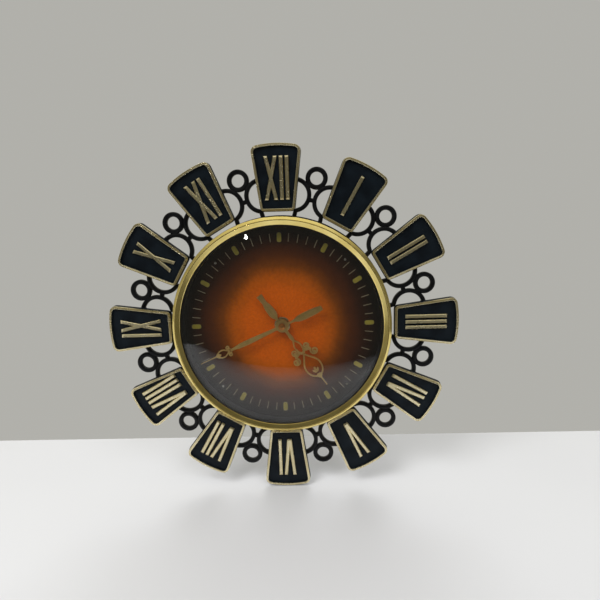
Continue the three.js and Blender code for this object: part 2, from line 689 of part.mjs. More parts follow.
add("sunburst_frame", sunburstFrame(), BLACK);
NUMERALS.forEach((letters, i) => {
  const number = String(i + 1).padStart(2, "0");
  add(`numeral_plate_${number}`, numeralPlate(letters, 30 * (i + 1)), GOLD);
});
add("bezel", turned(bezelProfile, 56), GOLD);
add("glass", glass(), CLEAR);
add("glass_ring", collar(BEZEL_INNER, 78.9, DIAL_FACE + REST_GAP, 44.2, 48), BLACK);
add("dial", dial(), COPPER_DIAL);
dialPinPlaces.forEach((place, i) => add(`dial_pin_${i + 1}`, dialPin(place), BRASS));
add("dial_bush", dialBush(), BRASS);

add("back_case", backCase(), PLASTIC);
caseScrewPlaces.forEach((place, i) => add(`case_screw_${i + 1}`, screw(place, 23.7, 25.6, 31.2, 3), STEEL));
add("hanging_bracket", hangingBracket(), STEEL);
bracketScrewPlaces.forEach((place, i) => {
  add(`bracket_screw_${i + 1}`, screw(place, 2.6, 4.4, 10.5, 2.6), STEEL);
});
add("battery_cover", batteryCover(), PLASTIC);
add("cover_pin", crossPost(COVER_PIN.radius, -COVER_PIN.half, COVER_PIN.half, ...COVER_HINGE, 8), STEEL);

const pillarHoles = PILLARS.map((place) => [place, 1.5]);
const backHoles = [...arborHoles, ...pillarHoles];
const regulatorBoss = collar(PIVOT_RADIUS + RUN_GAP, 2.3, 8.6, BACK_PLATE + 0.4, 8, balancePlace);
add("movement_back_plate", movementPlate(BACK_PLATE, backHoles).add(regulatorBoss), BRASS);
const frontHoles = [...arborHoles, [motionPlace, PIVOT_RADIUS + RUN_GAP], ...pillarHoles];
add("movement_front_plate", movementPlate(FRONT_PLATE, frontHoles), BRASS);
PILLARS.forEach((place, i) => add(`pillar_${i + 1}`, pillar(place), BRASS));
add("centre_wheel", centreWheel(), BRASS);
add("third_wheel", thirdWheel(), BRASS);
add("star_wheel", starWheel(), BRASS);
add("balance_wheel", balanceWheel(), BRASS);
add("hairspring", hairspring(), STEEL);
add("regulator_lever", regulatorLever(), STEEL);
add("cannon_pinion", cannonPinion(), BRASS);
add("minute_wheel", minuteWheel(), BRASS);
add("hour_wheel", hourWheel(), BRASS);
add("set_knob", setKnob(), BRASS);

add("hour_hand", hourHand(), BRASS).rotation.z = -radians(HOUR_HAND_ANGLE);
add("minute_hand", minuteHand(), BRASS).rotation.z = -radians(MINUTE_HAND_ANGLE);
add("hand_nut", handNut(), BRASS);

add("drive_coil", driveCoil(), COPPER);
add("circuit_board", circuitBoard(), BOARD);
add("battery", battery(), STEEL);
add("battery_trough", batteryTrough(), PLASTIC);
add("battery_contact_plus", batteryContact(1), STEEL);
add("battery_contact_minus", batteryContact(-1), STEEL);

const group = new THREE.Group();
group.add(clock);

export default group;
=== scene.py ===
"""Looks of the sunburst wall clock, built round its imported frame.

Shapes are drawn in the clock's own millimetres: x to the right, y up and z out from the wall, with the
axis of the hands at x = y = 0. make() turns them into the frame's metres.
"""
import json
import math
import bmesh
import bpy
from mathutils import Matrix, Vector


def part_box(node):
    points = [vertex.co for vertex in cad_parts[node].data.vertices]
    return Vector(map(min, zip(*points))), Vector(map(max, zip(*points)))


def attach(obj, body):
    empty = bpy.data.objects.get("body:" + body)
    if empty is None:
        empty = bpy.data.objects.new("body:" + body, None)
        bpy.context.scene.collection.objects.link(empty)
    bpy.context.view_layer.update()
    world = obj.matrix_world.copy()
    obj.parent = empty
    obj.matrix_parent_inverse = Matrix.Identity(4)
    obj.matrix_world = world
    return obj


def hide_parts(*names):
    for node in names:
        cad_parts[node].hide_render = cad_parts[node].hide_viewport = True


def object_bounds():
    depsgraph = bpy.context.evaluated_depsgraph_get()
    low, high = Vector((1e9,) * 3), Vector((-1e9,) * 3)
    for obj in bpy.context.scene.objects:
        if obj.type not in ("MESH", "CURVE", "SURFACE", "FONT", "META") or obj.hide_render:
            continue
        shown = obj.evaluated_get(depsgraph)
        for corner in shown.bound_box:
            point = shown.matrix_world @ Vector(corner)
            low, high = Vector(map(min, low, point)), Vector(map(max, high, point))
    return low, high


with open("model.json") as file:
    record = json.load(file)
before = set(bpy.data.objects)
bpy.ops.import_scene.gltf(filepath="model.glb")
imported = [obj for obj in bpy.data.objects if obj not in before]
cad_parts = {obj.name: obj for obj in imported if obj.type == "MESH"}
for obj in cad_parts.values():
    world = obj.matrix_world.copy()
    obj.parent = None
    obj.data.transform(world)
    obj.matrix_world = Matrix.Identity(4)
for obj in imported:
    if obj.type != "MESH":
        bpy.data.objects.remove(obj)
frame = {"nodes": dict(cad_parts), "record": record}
cad_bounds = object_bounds()

# ---- places and sizes, from the frame
MM = 0.001
AXIS = sum(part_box("dial"), Vector()) / 2
AXIS.y = 0
UPRIGHT = Matrix.Rotation(math.pi / 2, 4, "X")
BODY = "clock_body"


def heights(node):
    """How far a CAD node's back and front stand out from the wall, in millimetres."""
    low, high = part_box(node)
    return -high.y / MM, -low.y / MM


def box_mm(node):
    low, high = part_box(node)
    return low / MM, high / MM


def half_width(node):
    low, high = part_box(node)
    return (high.x - low.x) / 2 / MM


def middle_of(node):
    """The middle of a CAD node as it is seen from the front, in millimetres from the axis."""
    low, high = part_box(node)
    return (low.x + high.x) / 2 / MM - AXIS.x / MM, (low.z + high.z - 2 * AXIS.z) / 2 / MM


FRAME_BACK, HUB_SEAT = heights("sunburst_frame")
FRAME_FRONT = FRAME_BACK + 3.6
PLATE_BACK, PLATE_FRONT = FRAME_FRONT + 0.2, heights("numeral_plate_12")[1]
PLATE_TOP = (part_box("numeral_plate_12")[1].z - AXIS.z) / MM
PLATE_FIELD = PLATE_FRONT - 2
DIAL_BACK, DIAL_FACE = heights("dial")
DIAL_RADIUS = half_width("dial")
BEZEL_BACK, BEZEL_FRONT = heights("bezel")
BEZEL_RADIUS = half_width("bezel")
GLASS_BACK, GLASS_FRONT = heights("glass")
HOUR_BACK, HOUR_FRONT = heights("hour_hand")
MINUTE_BACK, MINUTE_FRONT = heights("minute_hand")
CASE_FRONT = heights("back_case")[1]
HANG_DROP = -AXIS.z / MM
HOURS = 12
HOUR_STEP = 360 / HOURS
NUMERALS = ["I", "II", "III", "IV", "V", "VI", "VII", "VIII", "IX", "X", "XI", "XII"]

# ---- flat shapes


def polar(radius, degrees, centre=(0, 0)):
    angle = math.radians(degrees)
    return centre[0] + radius * math.cos(angle), centre[1] + radius * math.sin(angle)


def arc(centre, radius, start, end, steps):
    """Points on an arc, from one angle to another in degrees."""
    return [polar(radius, start + (end - start) * k / steps, centre) for k in range(steps + 1)]


def rounded(corners, radii, steps=5):
    """A closed outline through the corners, with each corner rounded to its radius."""
    path = []
    count = len(corners)
    for i, corner in enumerate(corners):
        radius = radii[i] if isinstance(radii, (list, tuple)) else radii
        if radius <= 0:
            path.append(tuple(corner))
            continue
        here = Vector(corner)
        back = (Vector(corners[i - 1]) - here).normalized()
        on = (Vector(corners[(i + 1) % count]) - here).normalized()
        half = back.angle(on) / 2
        centre = here + (back + on).normalized() * (radius / math.sin(half))
        first = here + back * (radius / math.tan(half)) - centre
        last = here + on * (radius / math.tan(half)) - centre
        start = math.atan2(first.y, first.x)
        sweep = (math.atan2(last.y, last.x) - start + math.pi) % (2 * math.pi) - math.pi
        for k in range(steps + 1):
            angle = start + sweep * k / steps
            path.append((centre.x + radius * math.cos(angle), centre.y + radius * math.sin(angle)))
    return path


def inset(outline, distance):
    """A closed outline, counterclockwise, moved inwards by a distance."""
    count = len(outline)
    moved = []
    for i in range(count):
        before, here, after = (Vector(outline[(i + k) % count]) for k in (-1, 0, 1))
        one = (here - before).normalized()
        two = (after - here).normalized()
        inward = Vector((-one.y, one.x)) + Vector((-two.y, two.x))
        moved.append(tuple(here + inward * (distance * 2 / inward.length_squared)))
    return moved


def smooth(values, steps):
    """Points or numbers joined by a smooth curve through all of them."""
    listed = [Vector(v) if isinstance(v, (tuple, list)) else v for v in values]
    curve = []
    for i in range(len(listed) - 1):
        before, start, end, after = (listed[min(max(i + k, 0), len(listed) - 1)] for k in (-1, 0, 1, 2))
        for k in range(steps):
            t = k / steps
            bend = (2 * before - 5 * start + 4 * end - after) * t * t
            curl = (3 * start - before - 3 * end + after) * t ** 3
            curve.append((2 * start + (end - before) * t + bend + curl) * 0.5)
    return curve + [listed[-1]]


# ---- solids


def rings_to_mesh(rings, closed_along):
    """A mesh through rings of points; a ring of one point is a pole."""
    mesh = bmesh.new()
    made = [[mesh.verts.new(point) for point in ring] for ring in rings]
    pairs = list(zip(made, made[1:] + made[:1])) if closed_along else list(zip(made, made[1:]))
    for low, high in pairs:
        count = max(len(low), len(high))
        for k in range(count):
            after = (k + 1) % count
            below = [low[k % len(low)], low[after % len(low)]]
            above = [high[after % len(high)], high[k % len(high)]]
            unique = list(dict.fromkeys(below + above))
            if len(unique) > 2:
                mesh.faces.new(unique)
    if not closed_along:
        for ring in (made[0], made[-1]):
            if len(ring) > 2:
                mesh.faces.new(ring)
    bmesh.ops.recalc_face_normals(mesh, faces=mesh.faces)
    return mesh


def turned(profile, segments, place):
    """A turned solid, from pairs of radius and place along its line; one that starts on the line is open."""
    rings = []
    for radius, along in profile:
        count = segments if radius > 1e-6 else 1
        rings.append([place(*polar(radius, 360 * k / segments), along) for k in range(count)])
    return rings_to_mesh(rings, profile[0][0] > 0)


def lathe(profile, segments=192, centre=(0, 0)):
    """A solid turned about a line out of the wall, from pairs of radius and height."""
    return turned(profile, segments, lambda a, b, height: (centre[0] + a, centre[1] + b, height))


def cylinder(radius, low, high, centre=(0, 0), segments=24):
    return lathe([(0, low), (radius, low), (radius, high), (0, high)], segments, centre)


def loft(outline, steps, closed=False):
    """A solid with a closed outline, from pairs of how far it is drawn in and its height."""
    rings = [[(x, y, height) for x, y in inset(outline, depth)] for depth, height in steps]
    return rings_to_mesh(rings, closed)


def sweep(path, sections, closed=False):
    """A bar along a flat path. sections holds one list of (offset, height) for each point of the path."""
    rings = []
    count = len(path)
    for i, point in enumerate(path):
        before = Vector(path[i - 1 if closed else max(i - 1, 0)])
        after = Vector(path[(i + 1) % count if closed else min(i + 1, count - 1)])
        along = (after - before).normalized()
        rings.append([(point[0] - along.y * o, point[1] + along.x * o, h) for o, h in sections[i]])
    return rings_to_mesh(rings, closed)


def flat_stroke(path, half_widths, low, high, edge=0.2, closed=False):
    """A stamped strip along a path, with bevelled front edges and its own width at each point."""
    sections = []
    for i in range(len(path)):
        half = half_widths[i] if isinstance(half_widths, list) else half_widths
        slope = min(edge, half * 0.6)
        side = [(half, low), (half, high - slope), (half - slope, high)]
        sections.append(side + [(-o, h) for o, h in reversed(side)])
    return sweep(path, sections, closed)


def round_stroke(path, half, low, high, steps=8, closed=False):
    """A cast bar along a path: flat behind, straight sides and a rounded front."""
    shoulder = high - half * 0.7
    turns = [math.pi * k / steps for k in range(steps + 1)]
    front = [(half * math.cos(turn), shoulder + (high - shoulder) * math.sin(turn)) for turn in turns]
    section = [(half - 0.3, low), (half, low + 0.3), *front, (-half, low + 0.3), (0.3 - half, low)]
    return sweep(path, [section] * len(path), closed)


def block(low, high, edge=0.3):
    """A box with its long edges rounded off, given its lowest and highest corners."""
    (x0, y0, z0), (x1, y1, z1) = low, high
    outline = rounded([(x0, y0), (x1, y0), (x1, y1), (x0, y1)], edge, 3)
    return loft(outline, [(edge * 0.7, z0), (edge * 0.2, z0 + edge * 0.3), (0, z0 + edge), (0, z1 - edge),
                          (edge * 0.2, z1 - edge * 0.3), (edge * 0.7, z1)])


def along_x(profile, y, z, segments=32):
    """A solid turned about a line across the clock, from pairs of radius and place along that line."""
    return turned(profile, segments, lambda a, b, x: (x, y + a, z + b))


def rod(radius, start, end, y, z, chamfer=0.15):
    """A round bar across the clock with chamfered ends."""
    neck = radius - chamfer
    profile = [(0, start), (neck, start), (radius, start + chamfer), (radius, end - chamfer), (neck, end),
               (0, end)]
    return along_x(profile, y, z)


def turned_round(mesh, degrees):
    """A copy of a mesh, turned clockwise about the axis of the hands as seen from the front."""
    copy = mesh.copy()
    bmesh.ops.transform(copy, matrix=Matrix.Rotation(-math.radians(degrees), 4, "Z"), verts=copy.verts)
    return copy


def moved(mesh, x, y, z=0):
    bmesh.ops.translate(mesh, vec=(x, y, z), verts=mesh.verts)
    return mesh


def data_of(mesh, name):
    """The data for an object, made from a working mesh that is used up."""
    data = bpy.data.meshes.new(name)
    mesh.to_mesh(data)
    mesh.free()
    return data


def add_object(name, data):
    added = bpy.data.objects.new(name, data)
    bpy.context.scene.collection.objects.link(added)
    return added


def together(meshes):
    """Separate solids held in one mesh."""
    whole = bmesh.new()
    for mesh in meshes:
        data = data_of(mesh, "part")
        whole.from_mesh(data)
        bpy.data.meshes.remove(data)
    return whole


def united(solids, cutters=()):
    """One closed solid out of overlapping ones, less the cutters."""
    scratch = [add_object("scratch", data_of(mesh, "scratch")) for mesh in [*solids, *cutters]]
    for i, other in enumerate(scratch[1:], 1):
        cut = scratch[0].modifiers.new("cut", "BOOLEAN")
        cut.operation = "UNION" if i < len(solids) else "DIFFERENCE"
        cut.solver = "MANIFOLD"
        cut.object = other
    shown = scratch[0].evaluated_get(bpy.context.evaluated_depsgraph_get())
    whole = bmesh.new()
    whole.from_mesh(shown.to_mesh())
    shown.to_mesh_clear()
    for thing in scratch:
        data = thing.data
        bpy.data.objects.remove(thing)
        bpy.data.meshes.remove(data)
    return whole


def make(name, mesh, material, body=BODY, turn=0, replaces=(), crease=32):
    """Turns a mesh in millimetres into a piece that rides on a body. Its origin is on the hands' axis."""
    data = data_of(mesh, name)
    data.transform(Matrix.Scale(MM, 4))
    data.transform(UPRIGHT)
    data.polygons.foreach_set("use_smooth", [True] * len(data.polygons))
    data.set_sharp_from_angle(angle=math.radians(crease))
    data.materials.append(material)
    piece = add_object(name, data)
    piece.location = AXIS
    piece.rotation_euler = (0, math.radians(turn), 0)
    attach(piece, body)
    if replaces:
        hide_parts(*replaces)
    return piece


# ---- materials


def node(tree, kind, inputs=None, **settings):
    made = tree.nodes.new("ShaderNode" + kind)
    for key, value in settings.items():
        setattr(made, key, value)
    for key, value in (inputs or {}).items():
        if isinstance(value, bpy.types.NodeSocket):
            tree.links.new(value, made.inputs[key])
        else:
            made.inputs[key].default_value = value
    return made


def new_material(name, **values):
    material = bpy.data.materials.new(name)
    material.use_nodes = True
    tree = material.node_tree
    shader = tree.nodes["Principled BSDF"]
    for key, value in values.items():
        shader.inputs[key.replace("_", " ").title().replace("Ior", "IOR")].default_value = value
    place = node(tree, "TexCoord").outputs["Object"]
    return material, tree, shader, place


def noise(tree, place, scale, detail=4.0, rough=0.55, stretch=(1, 1, 1)):
    """Noise from 0 to 1; scale counts features in a metre."""
    spread = node(tree, "Mapping", {"Vector": place, "Scale": stretch}).outputs[0]
    inputs = {"Vector": spread, "Scale": scale, "Detail": detail, "Roughness": rough}
    return node(tree, "TexNoise", inputs).outputs[0]


def between(tree, value, low, high, start=0.3, end=0.7):
    inputs = {"Value": value, "From Min": start, "From Max": end, "To Min": low, "To Max": high}
    return node(tree, "MapRange", inputs).outputs[0]


def ramp(tree, value, stops):
    """Colours along a value: pairs of place and linear colour."""
    made = node(tree, "ValToRGB", {"Fac": value})
    bar = made.color_ramp
    while len(bar.elements) < len(stops):
        bar.elements.new(0.5)
    for element, (place, colour) in zip(bar.elements, stops):
        element.position = place
        element.color = (*colour, 1)
    return made.outputs["Color"]


def maths(tree, operation, a, b=0.0):
    made = node(tree, "Math", operation=operation)
    for socket, value in zip(made.inputs, (a, b)):
        if isinstance(value, bpy.types.NodeSocket):
            tree.links.new(value, socket)
        else:
            socket.default_value = value
    return made.outputs[0]


def tinted(tree, colour, factor):
    """A colour made darker or brighter by a value."""
    made = node(tree, "VectorMath", operation="SCALE")
    tree.links.new(colour, made.inputs[0])
    tree.links.new(factor, made.inputs["Scale"])
    return made.outputs[0]


def paint(tree, shader, colour, roughness):
    tree.links.new(colour, shader.inputs["Base Color"])
    tree.links.new(roughness, shader.inputs["Roughness"])


def add_bump(tree, shader, height, depth):
    """Relief from a height of 0 to 1, with its depth in metres."""
    made = node(tree, "Bump", {"Height": height, "Distance": depth, "Strength": 1.0})
    tree.links.new(made.outputs[0], shader.inputs["Normal"])


def axis_radius(tree, place):
    """Distance from the axis of the hands, in metres."""
    parts = node(tree, "SeparateXYZ", {"Vector": place})
    flat = node(tree, "CombineXYZ", {"X": parts.outputs["X"], "Y": parts.outputs["Z"]})
    made = node(tree, "VectorMath", operation="LENGTH")
    tree.links.new(flat.outputs[0], made.inputs[0])
    return made.outputs["Value"]


def coated(name, dark, light, roughness, grain, depth, metallic=0.0, **more):
    """Paint, enamel or moulded plastic: two close tones, uneven gloss and a fine grain in relief."""
    material, tree, shader, place = new_material(name, metallic=metallic, **more)
    colour = ramp(tree, noise(tree, place, 90, 5), [(0.35, dark), (0.65, light)])
    gloss = between(tree, noise(tree, place, 240, 6, 0.65), roughness - 0.07, roughness + 0.07)
    paint(tree, shader, colour, gloss)
    add_bump(tree, shader, noise(tree, place, grain, 3), depth)
    return material


def metal(name, dark, light, roughness, stretch=(1, 1, 1), scratch=900, depth=0.000006, **more):
    """Plated or bare metal: patches of tarnish, fine marks along one direction and uneven gloss."""
    material, tree, shader, place = new_material(name, metallic=1.0, **more)
    patch = noise(tree, place, 70, 6, 0.6)
    marks = noise(tree, place, scratch, 4, 0.6, stretch)
    tone = maths(tree, "ADD", maths(tree, "MULTIPLY", patch, 0.65), maths(tree, "MULTIPLY", marks, 0.35))
    colour = ramp(tree, tone, [(0.38, dark), (0.6, light)])
    paint(tree, shader, colour, between(tree, tone, roughness + 0.08, roughness - 0.05))
    add_bump(tree, shader, marks, depth)
    return material


def turned_metal(name, dark, light, roughness, pitch, depth, **more):
    """Metal polished on a lathe: faint rings round the axis of the hands, and patches of tarnish."""
    material, tree, shader, place = new_material(name, metallic=1.0, **more)
    across = node(tree, "CombineXYZ", {"X": axis_radius(tree, place)}).outputs[0]
    rings = noise(tree, across, pitch, 2)
    patch = noise(tree, place, 60, 5)
    tone = maths(tree, "ADD", maths(tree, "MULTIPLY", patch, 0.7), maths(tree, "MULTIPLY", rings, 0.3))
    colour = ramp(tree, tone, [(0.38, dark), (0.62, light)])
    paint(tree, shader, colour, between(tree, tone, roughness + 0.05, roughness - 0.03))
    add_bump(tree, shader, rings, depth)
    return material


def dial_material():
    """Sunray-brushed metal under lacquer that runs from orange in the middle to nearly black at the edge."""
    material, tree, shader, place = new_material("dial_lacquer", metallic=0.2, specular_ior_level=0.05)
    radius = axis_radius(tree, place)
    drift = maths(tree, "MULTIPLY", maths(tree, "SUBTRACT", noise(tree, place, 22, 2), 0.5), 0.012)
    share = maths(tree, "DIVIDE", maths(tree, "ADD", radius, drift), DIAL_RADIUS * MM)
    lacquer = ramp(tree, share, [
        (0.0, (0.50, 0.090, 0.0005)), (0.35, (0.485, 0.088, 0.0005)), (0.485, (0.335, 0.070, 0.0005)),
        (0.585, (0.13, 0.033, 0.001)), (0.68, (0.058, 0.014, 0.002)), (0.80, (0.022, 0.006, 0.002)),
        (0.95, (0.0035, 0.002, 0.001)),
    ])
    ray = node(tree, "VectorMath", {0: place}, operation="NORMALIZE").outputs[0]
    rays = noise(tree, ray, 26, 2, 0.6)
    colour = tinted(tree, lacquer, between(tree, rays, 0.86, 1.12))
    paint(tree, shader, colour, between(tree, rays, 0.34, 0.46))
    return material


def glass_material():
    """Thin clear glass: it mirrors more at a slant, and lets lamps through."""
    material = bpy.data.materials.new("clock_glass")
    material.use_nodes = True
    tree = material.node_tree
    tree.nodes.remove(tree.nodes["Principled BSDF"])
    place = node(tree, "TexCoord").outputs["Object"]
    smear = between(tree, noise(tree, place, 12, 1), 0.006, 0.014)
    mirror = node(tree, "BsdfGlossy", {"Roughness": smear, "Color": (1, 1, 1, 1)})
    clear = node(tree, "BsdfTransparent", {"Color": (0.985, 0.985, 0.98, 1)})
    slant = node(tree, "LayerWeight", {"Blend": 0.5}).outputs["Facing"]
    share = maths(tree, "ADD", maths(tree, "MULTIPLY", maths(tree, "POWER", slant, 5.0), 0.96), 0.04)
    mixed = node(tree, "MixShader", {0: share, 1: clear.outputs[0], 2: mirror.outputs[0]})
    tree.links.new(mixed.outputs[0], tree.nodes["Material Output"].inputs["Surface"])
    return material


ENAMEL = coated("black_enamel", (0.0025, 0.0025, 0.003), (0.006, 0.0065, 0.007), 0.36, 700, 0.00001,
                specular_ior_level=0.18)
FIELD = coated("field_enamel", (0.002, 0.0035, 0.0055), (0.0045, 0.0075, 0.011), 0.55, 800, 0.00001,
               specular_ior_level=0.18)
PLASTIC = coated("moulded_plastic", (0.016, 0.015, 0.014), (0.026, 0.024, 0.022), 0.52, 900, 0.00001)
GILT = metal("plate_gilt", (0.78, 0.68, 0.40), (0.95, 0.86, 0.59), 0.27, (1, 1, 0.1), 600, 0.000002)
BEZEL_GILT = turned_metal("bezel_gilt", (0.82, 0.65, 0.21), (0.95, 0.79, 0.31), 0.12, 500, 0.0000003)
NUT_BRONZE = turned_metal("nut_bronze", (0.50, 0.21, 0.05), (0.68, 0.33, 0.09), 0.3, 500, 0.0000003)
BRIGHT_GILT = turned_metal("bright_gilt", (0.66, 0.54, 0.27), (0.86, 0.75, 0.44), 0.24, 500, 0.0000003)
PIN_NICKEL = metal("pin_nickel", (0.30, 0.28, 0.25), (0.48, 0.46, 0.41), 0.5, depth=0.000001)
HAND_GILT = metal("hand_gilt", (0.52, 0.36, 0.11), (0.78, 0.57, 0.22), 0.4, (1, 1, 0.1), 600, 0.000002)
PRINT = coated("dial_print", (0.14, 0.115, 0.07), (0.22, 0.185, 0.12), 0.5, 700, 0.000002, metallic=0.3)
BATON = coated("baton_paint", (0.165, 0.135, 0.012), (0.225, 0.19, 0.025), 0.55, 700, 0.000003)
BATON_EDGE = coated("baton_edge", (0.006, 0.005, 0.004), (0.012, 0.010, 0.008), 0.5, 700, 0.000002)
STEEL = metal("zinc_plate", (0.34, 0.34, 0.33), (0.56, 0.56, 0.55), 0.34, (1, 1, 0.2), 700, 0.000003)
BRASS = metal("works_brass", (0.42, 0.30, 0.12), (0.66, 0.50, 0.22), 0.3, (1, 0.2, 1), 700, 0.000003)
COPPER = metal("coil_copper", (0.30, 0.10, 0.04), (0.62, 0.26, 0.10), 0.3, (0.2, 1, 0.2), 3000, 0.00002)
BOARD = coated("resin_board", (0.17, 0.085, 0.022), (0.28, 0.15, 0.045), 0.45, 700, 0.000006)
WRAP = coated("battery_wrap", (0.05, 0.07, 0.11), (0.08, 0.10, 0.15), 0.3, 500, 0.000004, coat_weight=0.3)
DIAL = dial_material()
GLASS = glass_material()

SLOT_LOOKS = {
    "black_enamel": ENAMEL, "gilt_plate": GILT, "polished_gilt": BRIGHT_GILT, "clock_glass": GLASS,
    "dial_copper": DIAL, "hand_gilt": HAND_GILT, "black_plastic": PLASTIC, "plain_steel": STEEL,
    "works_brass": BRASS, "coil_copper": COPPER, "board_brown": BOARD, "battery_wrap": WRAP,
}

# ---- the cast ring and its scrollwork
HUB_INNER = 62
HUB_OUTER = 84.4
HUB_RECESS = 79
SCROLL_HALF = 1.65
SCROLL_RADIUS = 11.7
SCROLL_CENTRE = (14, 99)
SCROLL_ENDS = (84, 250)
SCROLL_FOOT = (10.1, HUB_OUTER - 2.4)
LINK_CENTRE = 114.6
LINK_RADIUS = 6.6
LINK_HALF = 1.8
BRIDGE_HALF = 3.2
BRIDGE_PLACE = 98
STUD_PLACE = (13.2, 110.8)
STUD_RADIUS = 1.3
STUD_PAD = 3.2


def scroll(side):
    """One C-shaped scroll with its foot on the ring; side is 1 or -1."""
    centre = (side * SCROLL_CENTRE[0], SCROLL_CENTRE[1])
    ends = [a if side > 0 else 180 - a for a in SCROLL_ENDS]
    foot = (side * SCROLL_FOOT[0], SCROLL_FOOT[1])
    return round_stroke([*arc(centre, SCROLL_RADIUS, *ends, 44), foot], SCROLL_HALF, FRAME_BACK, FRAME_FRONT)


def scroll_group():
    """The scrollwork between two plates, drawn as if it stood straight above the axis."""
    link = arc((0, LINK_CENTRE), LINK_RADIUS, 0, 360, 56)[:-1]
    bridge = [(-BRIDGE_HALF, BRIDGE_PLACE), (BRIDGE_HALF, BRIDGE_PLACE)]
    pad_front = FRAME_FRONT - 0.1
    pads = []
    holes = []
    for side in (-1, 1):
        angle = math.radians(HOUR_STEP / 2) * side
        x, y = -side * STUD_PLACE[0], STUD_PLACE[1]
        place = (x * math.cos(angle) + y * math.sin(angle), y * math.cos(angle) - x * math.sin(angle))
        pad = [(0, FRAME_BACK), (STUD_PAD - 0.3, FRAME_BACK), (STUD_PAD, FRAME_BACK + 0.3),
               (STUD_PAD, pad_front), (0, pad_front)]
        pads.append(lathe(pad, 32, place))
        holes.append(cylinder(STUD_RADIUS + 0.3, FRAME_BACK - 1, FRAME_FRONT + 1, place))
    solids = [
        scroll(1), scroll(-1),
        round_stroke(link, LINK_HALF, FRAME_BACK, FRAME_FRONT, closed=True),
        round_stroke(bridge, SCROLL_HALF, FRAME_BACK, FRAME_FRONT),
        *pads,
    ]
    return united(solids, holes)


def hub_ring():
    """The flat ring under the bezel and the plates' feet."""
    profile = rounded([
        (HUB_INNER, FRAME_BACK), (HUB_OUTER, FRAME_BACK), (HUB_OUTER, FRAME_FRONT),
        (HUB_RECESS, FRAME_FRONT), (HUB_RECESS, HUB_SEAT), (HUB_INNER, HUB_SEAT),
    ], 0.25, 2)
    return lathe(profile, 192)


def build_frame():
    group = scroll_group()
    groups = [turned_round(group, HOUR_STEP * (k + 0.5)) for k in range(HOURS)]
    casting = united([hub_ring(), *groups])
    make("sunburst_casting", casting, ENAMEL, replaces=["sunburst_frame"])


# ---- the numeral plates
PLATE_INNER = 87.02
PLATE_HALF = (13, 19.25)
PLATE_SHOULDER = 134.4
PLATE_ROUND = (3.3, 5.2)
PLATE_DRAFT = 0.4
RIM_WIDTH = 2.3
RIM_DEPTH = 0.85
NUMERAL_INNER = 95.6
NUMERAL_OUTER = 127.2
NUMERAL_HALF = 1.35
NUMERAL_BEVEL = 0.45
NUMERAL_END = 1.1
NUMERAL_FRONT = PLATE_FRONT - 0.6
LETTER_WIDTH = 7.1
LETTER_GAP = 4.3
V_FOOT = 0.45


def plate_outline():
    """A wedge with rounded corners and a gently arched outer edge, counterclockwise."""
    inner, outer = PLATE_HALF
    inner_round, outer_round = PLATE_ROUND
    fall = PLATE_TOP - PLATE_SHOULDER
    arch = [(outer * k / 8, PLATE_TOP - fall * (k / 8) ** 2) for k in range(6, -7, -1)]
    foot = [(-inner, PLATE_INNER), (inner, PLATE_INNER)]
    corners = [*foot, (outer, PLATE_SHOULDER), *arch, (-outer, PLATE_SHOULDER)]
    sharp = [0] * len(arch)
    return rounded(corners, [inner_round, inner_round, outer_round, *sharp, outer_round], 6)


def plate_rim(outline):
    """The gilt top of the rim: a low outer ridge, a fine groove and a higher inner ridge."""
    top = PLATE_FRONT
    base = top - RIM_DEPTH
    outer_ridge = [(PLATE_DRAFT, base), (PLATE_DRAFT + 0.06, top - 0.6), (PLATE_DRAFT + 0.2, top - 0.42),
                   (PLATE_DRAFT + 0.5, top - 0.4), (PLATE_DRAFT + 0.62, top - 0.52)]
    groove = [(1.08, top - 0.8), (1.3, top - 0.8)]
    inner_ridge = [(1.38, top - 0.3), (1.48, top - 0.08), (1.62, top), (2.05, top), (2.2, top - 0.1),
                   (2.28, top - 0.35)]
    under = [(RIM_WIDTH, base - 0.1), (PLATE_DRAFT + 0.1, base - 0.1)]
    return loft(outline, [*outer_ridge, *groove, *inner_ridge, *under], closed=True)


def plate_tray(outline):
    """The enamelled body: side walls with a little draft, the sunk field, and two studs behind."""
    base = PLATE_FRONT - RIM_DEPTH
    walls = [(0.3, PLATE_BACK), (0.02, PLATE_BACK + 0.25), (PLATE_DRAFT + 0.02, base)]
    width = RIM_WIDTH
    field = [(width - 0.1, base - 0.02), (width, PLATE_FIELD + 0.12), (width + 0.15, PLATE_FIELD)]
    foot, root = FRAME_BACK + 0.4, PLATE_BACK + 0.3
    stud = [(0, foot), (STUD_RADIUS - 0.25, foot), (STUD_RADIUS, foot + 0.25), (STUD_RADIUS, root),
            (0, root)]
    studs = [lathe(stud, 24, (side * STUD_PLACE[0], STUD_PLACE[1])) for side in (-1, 1)]
    return together([loft(outline, [*walls, *field]), *studs])


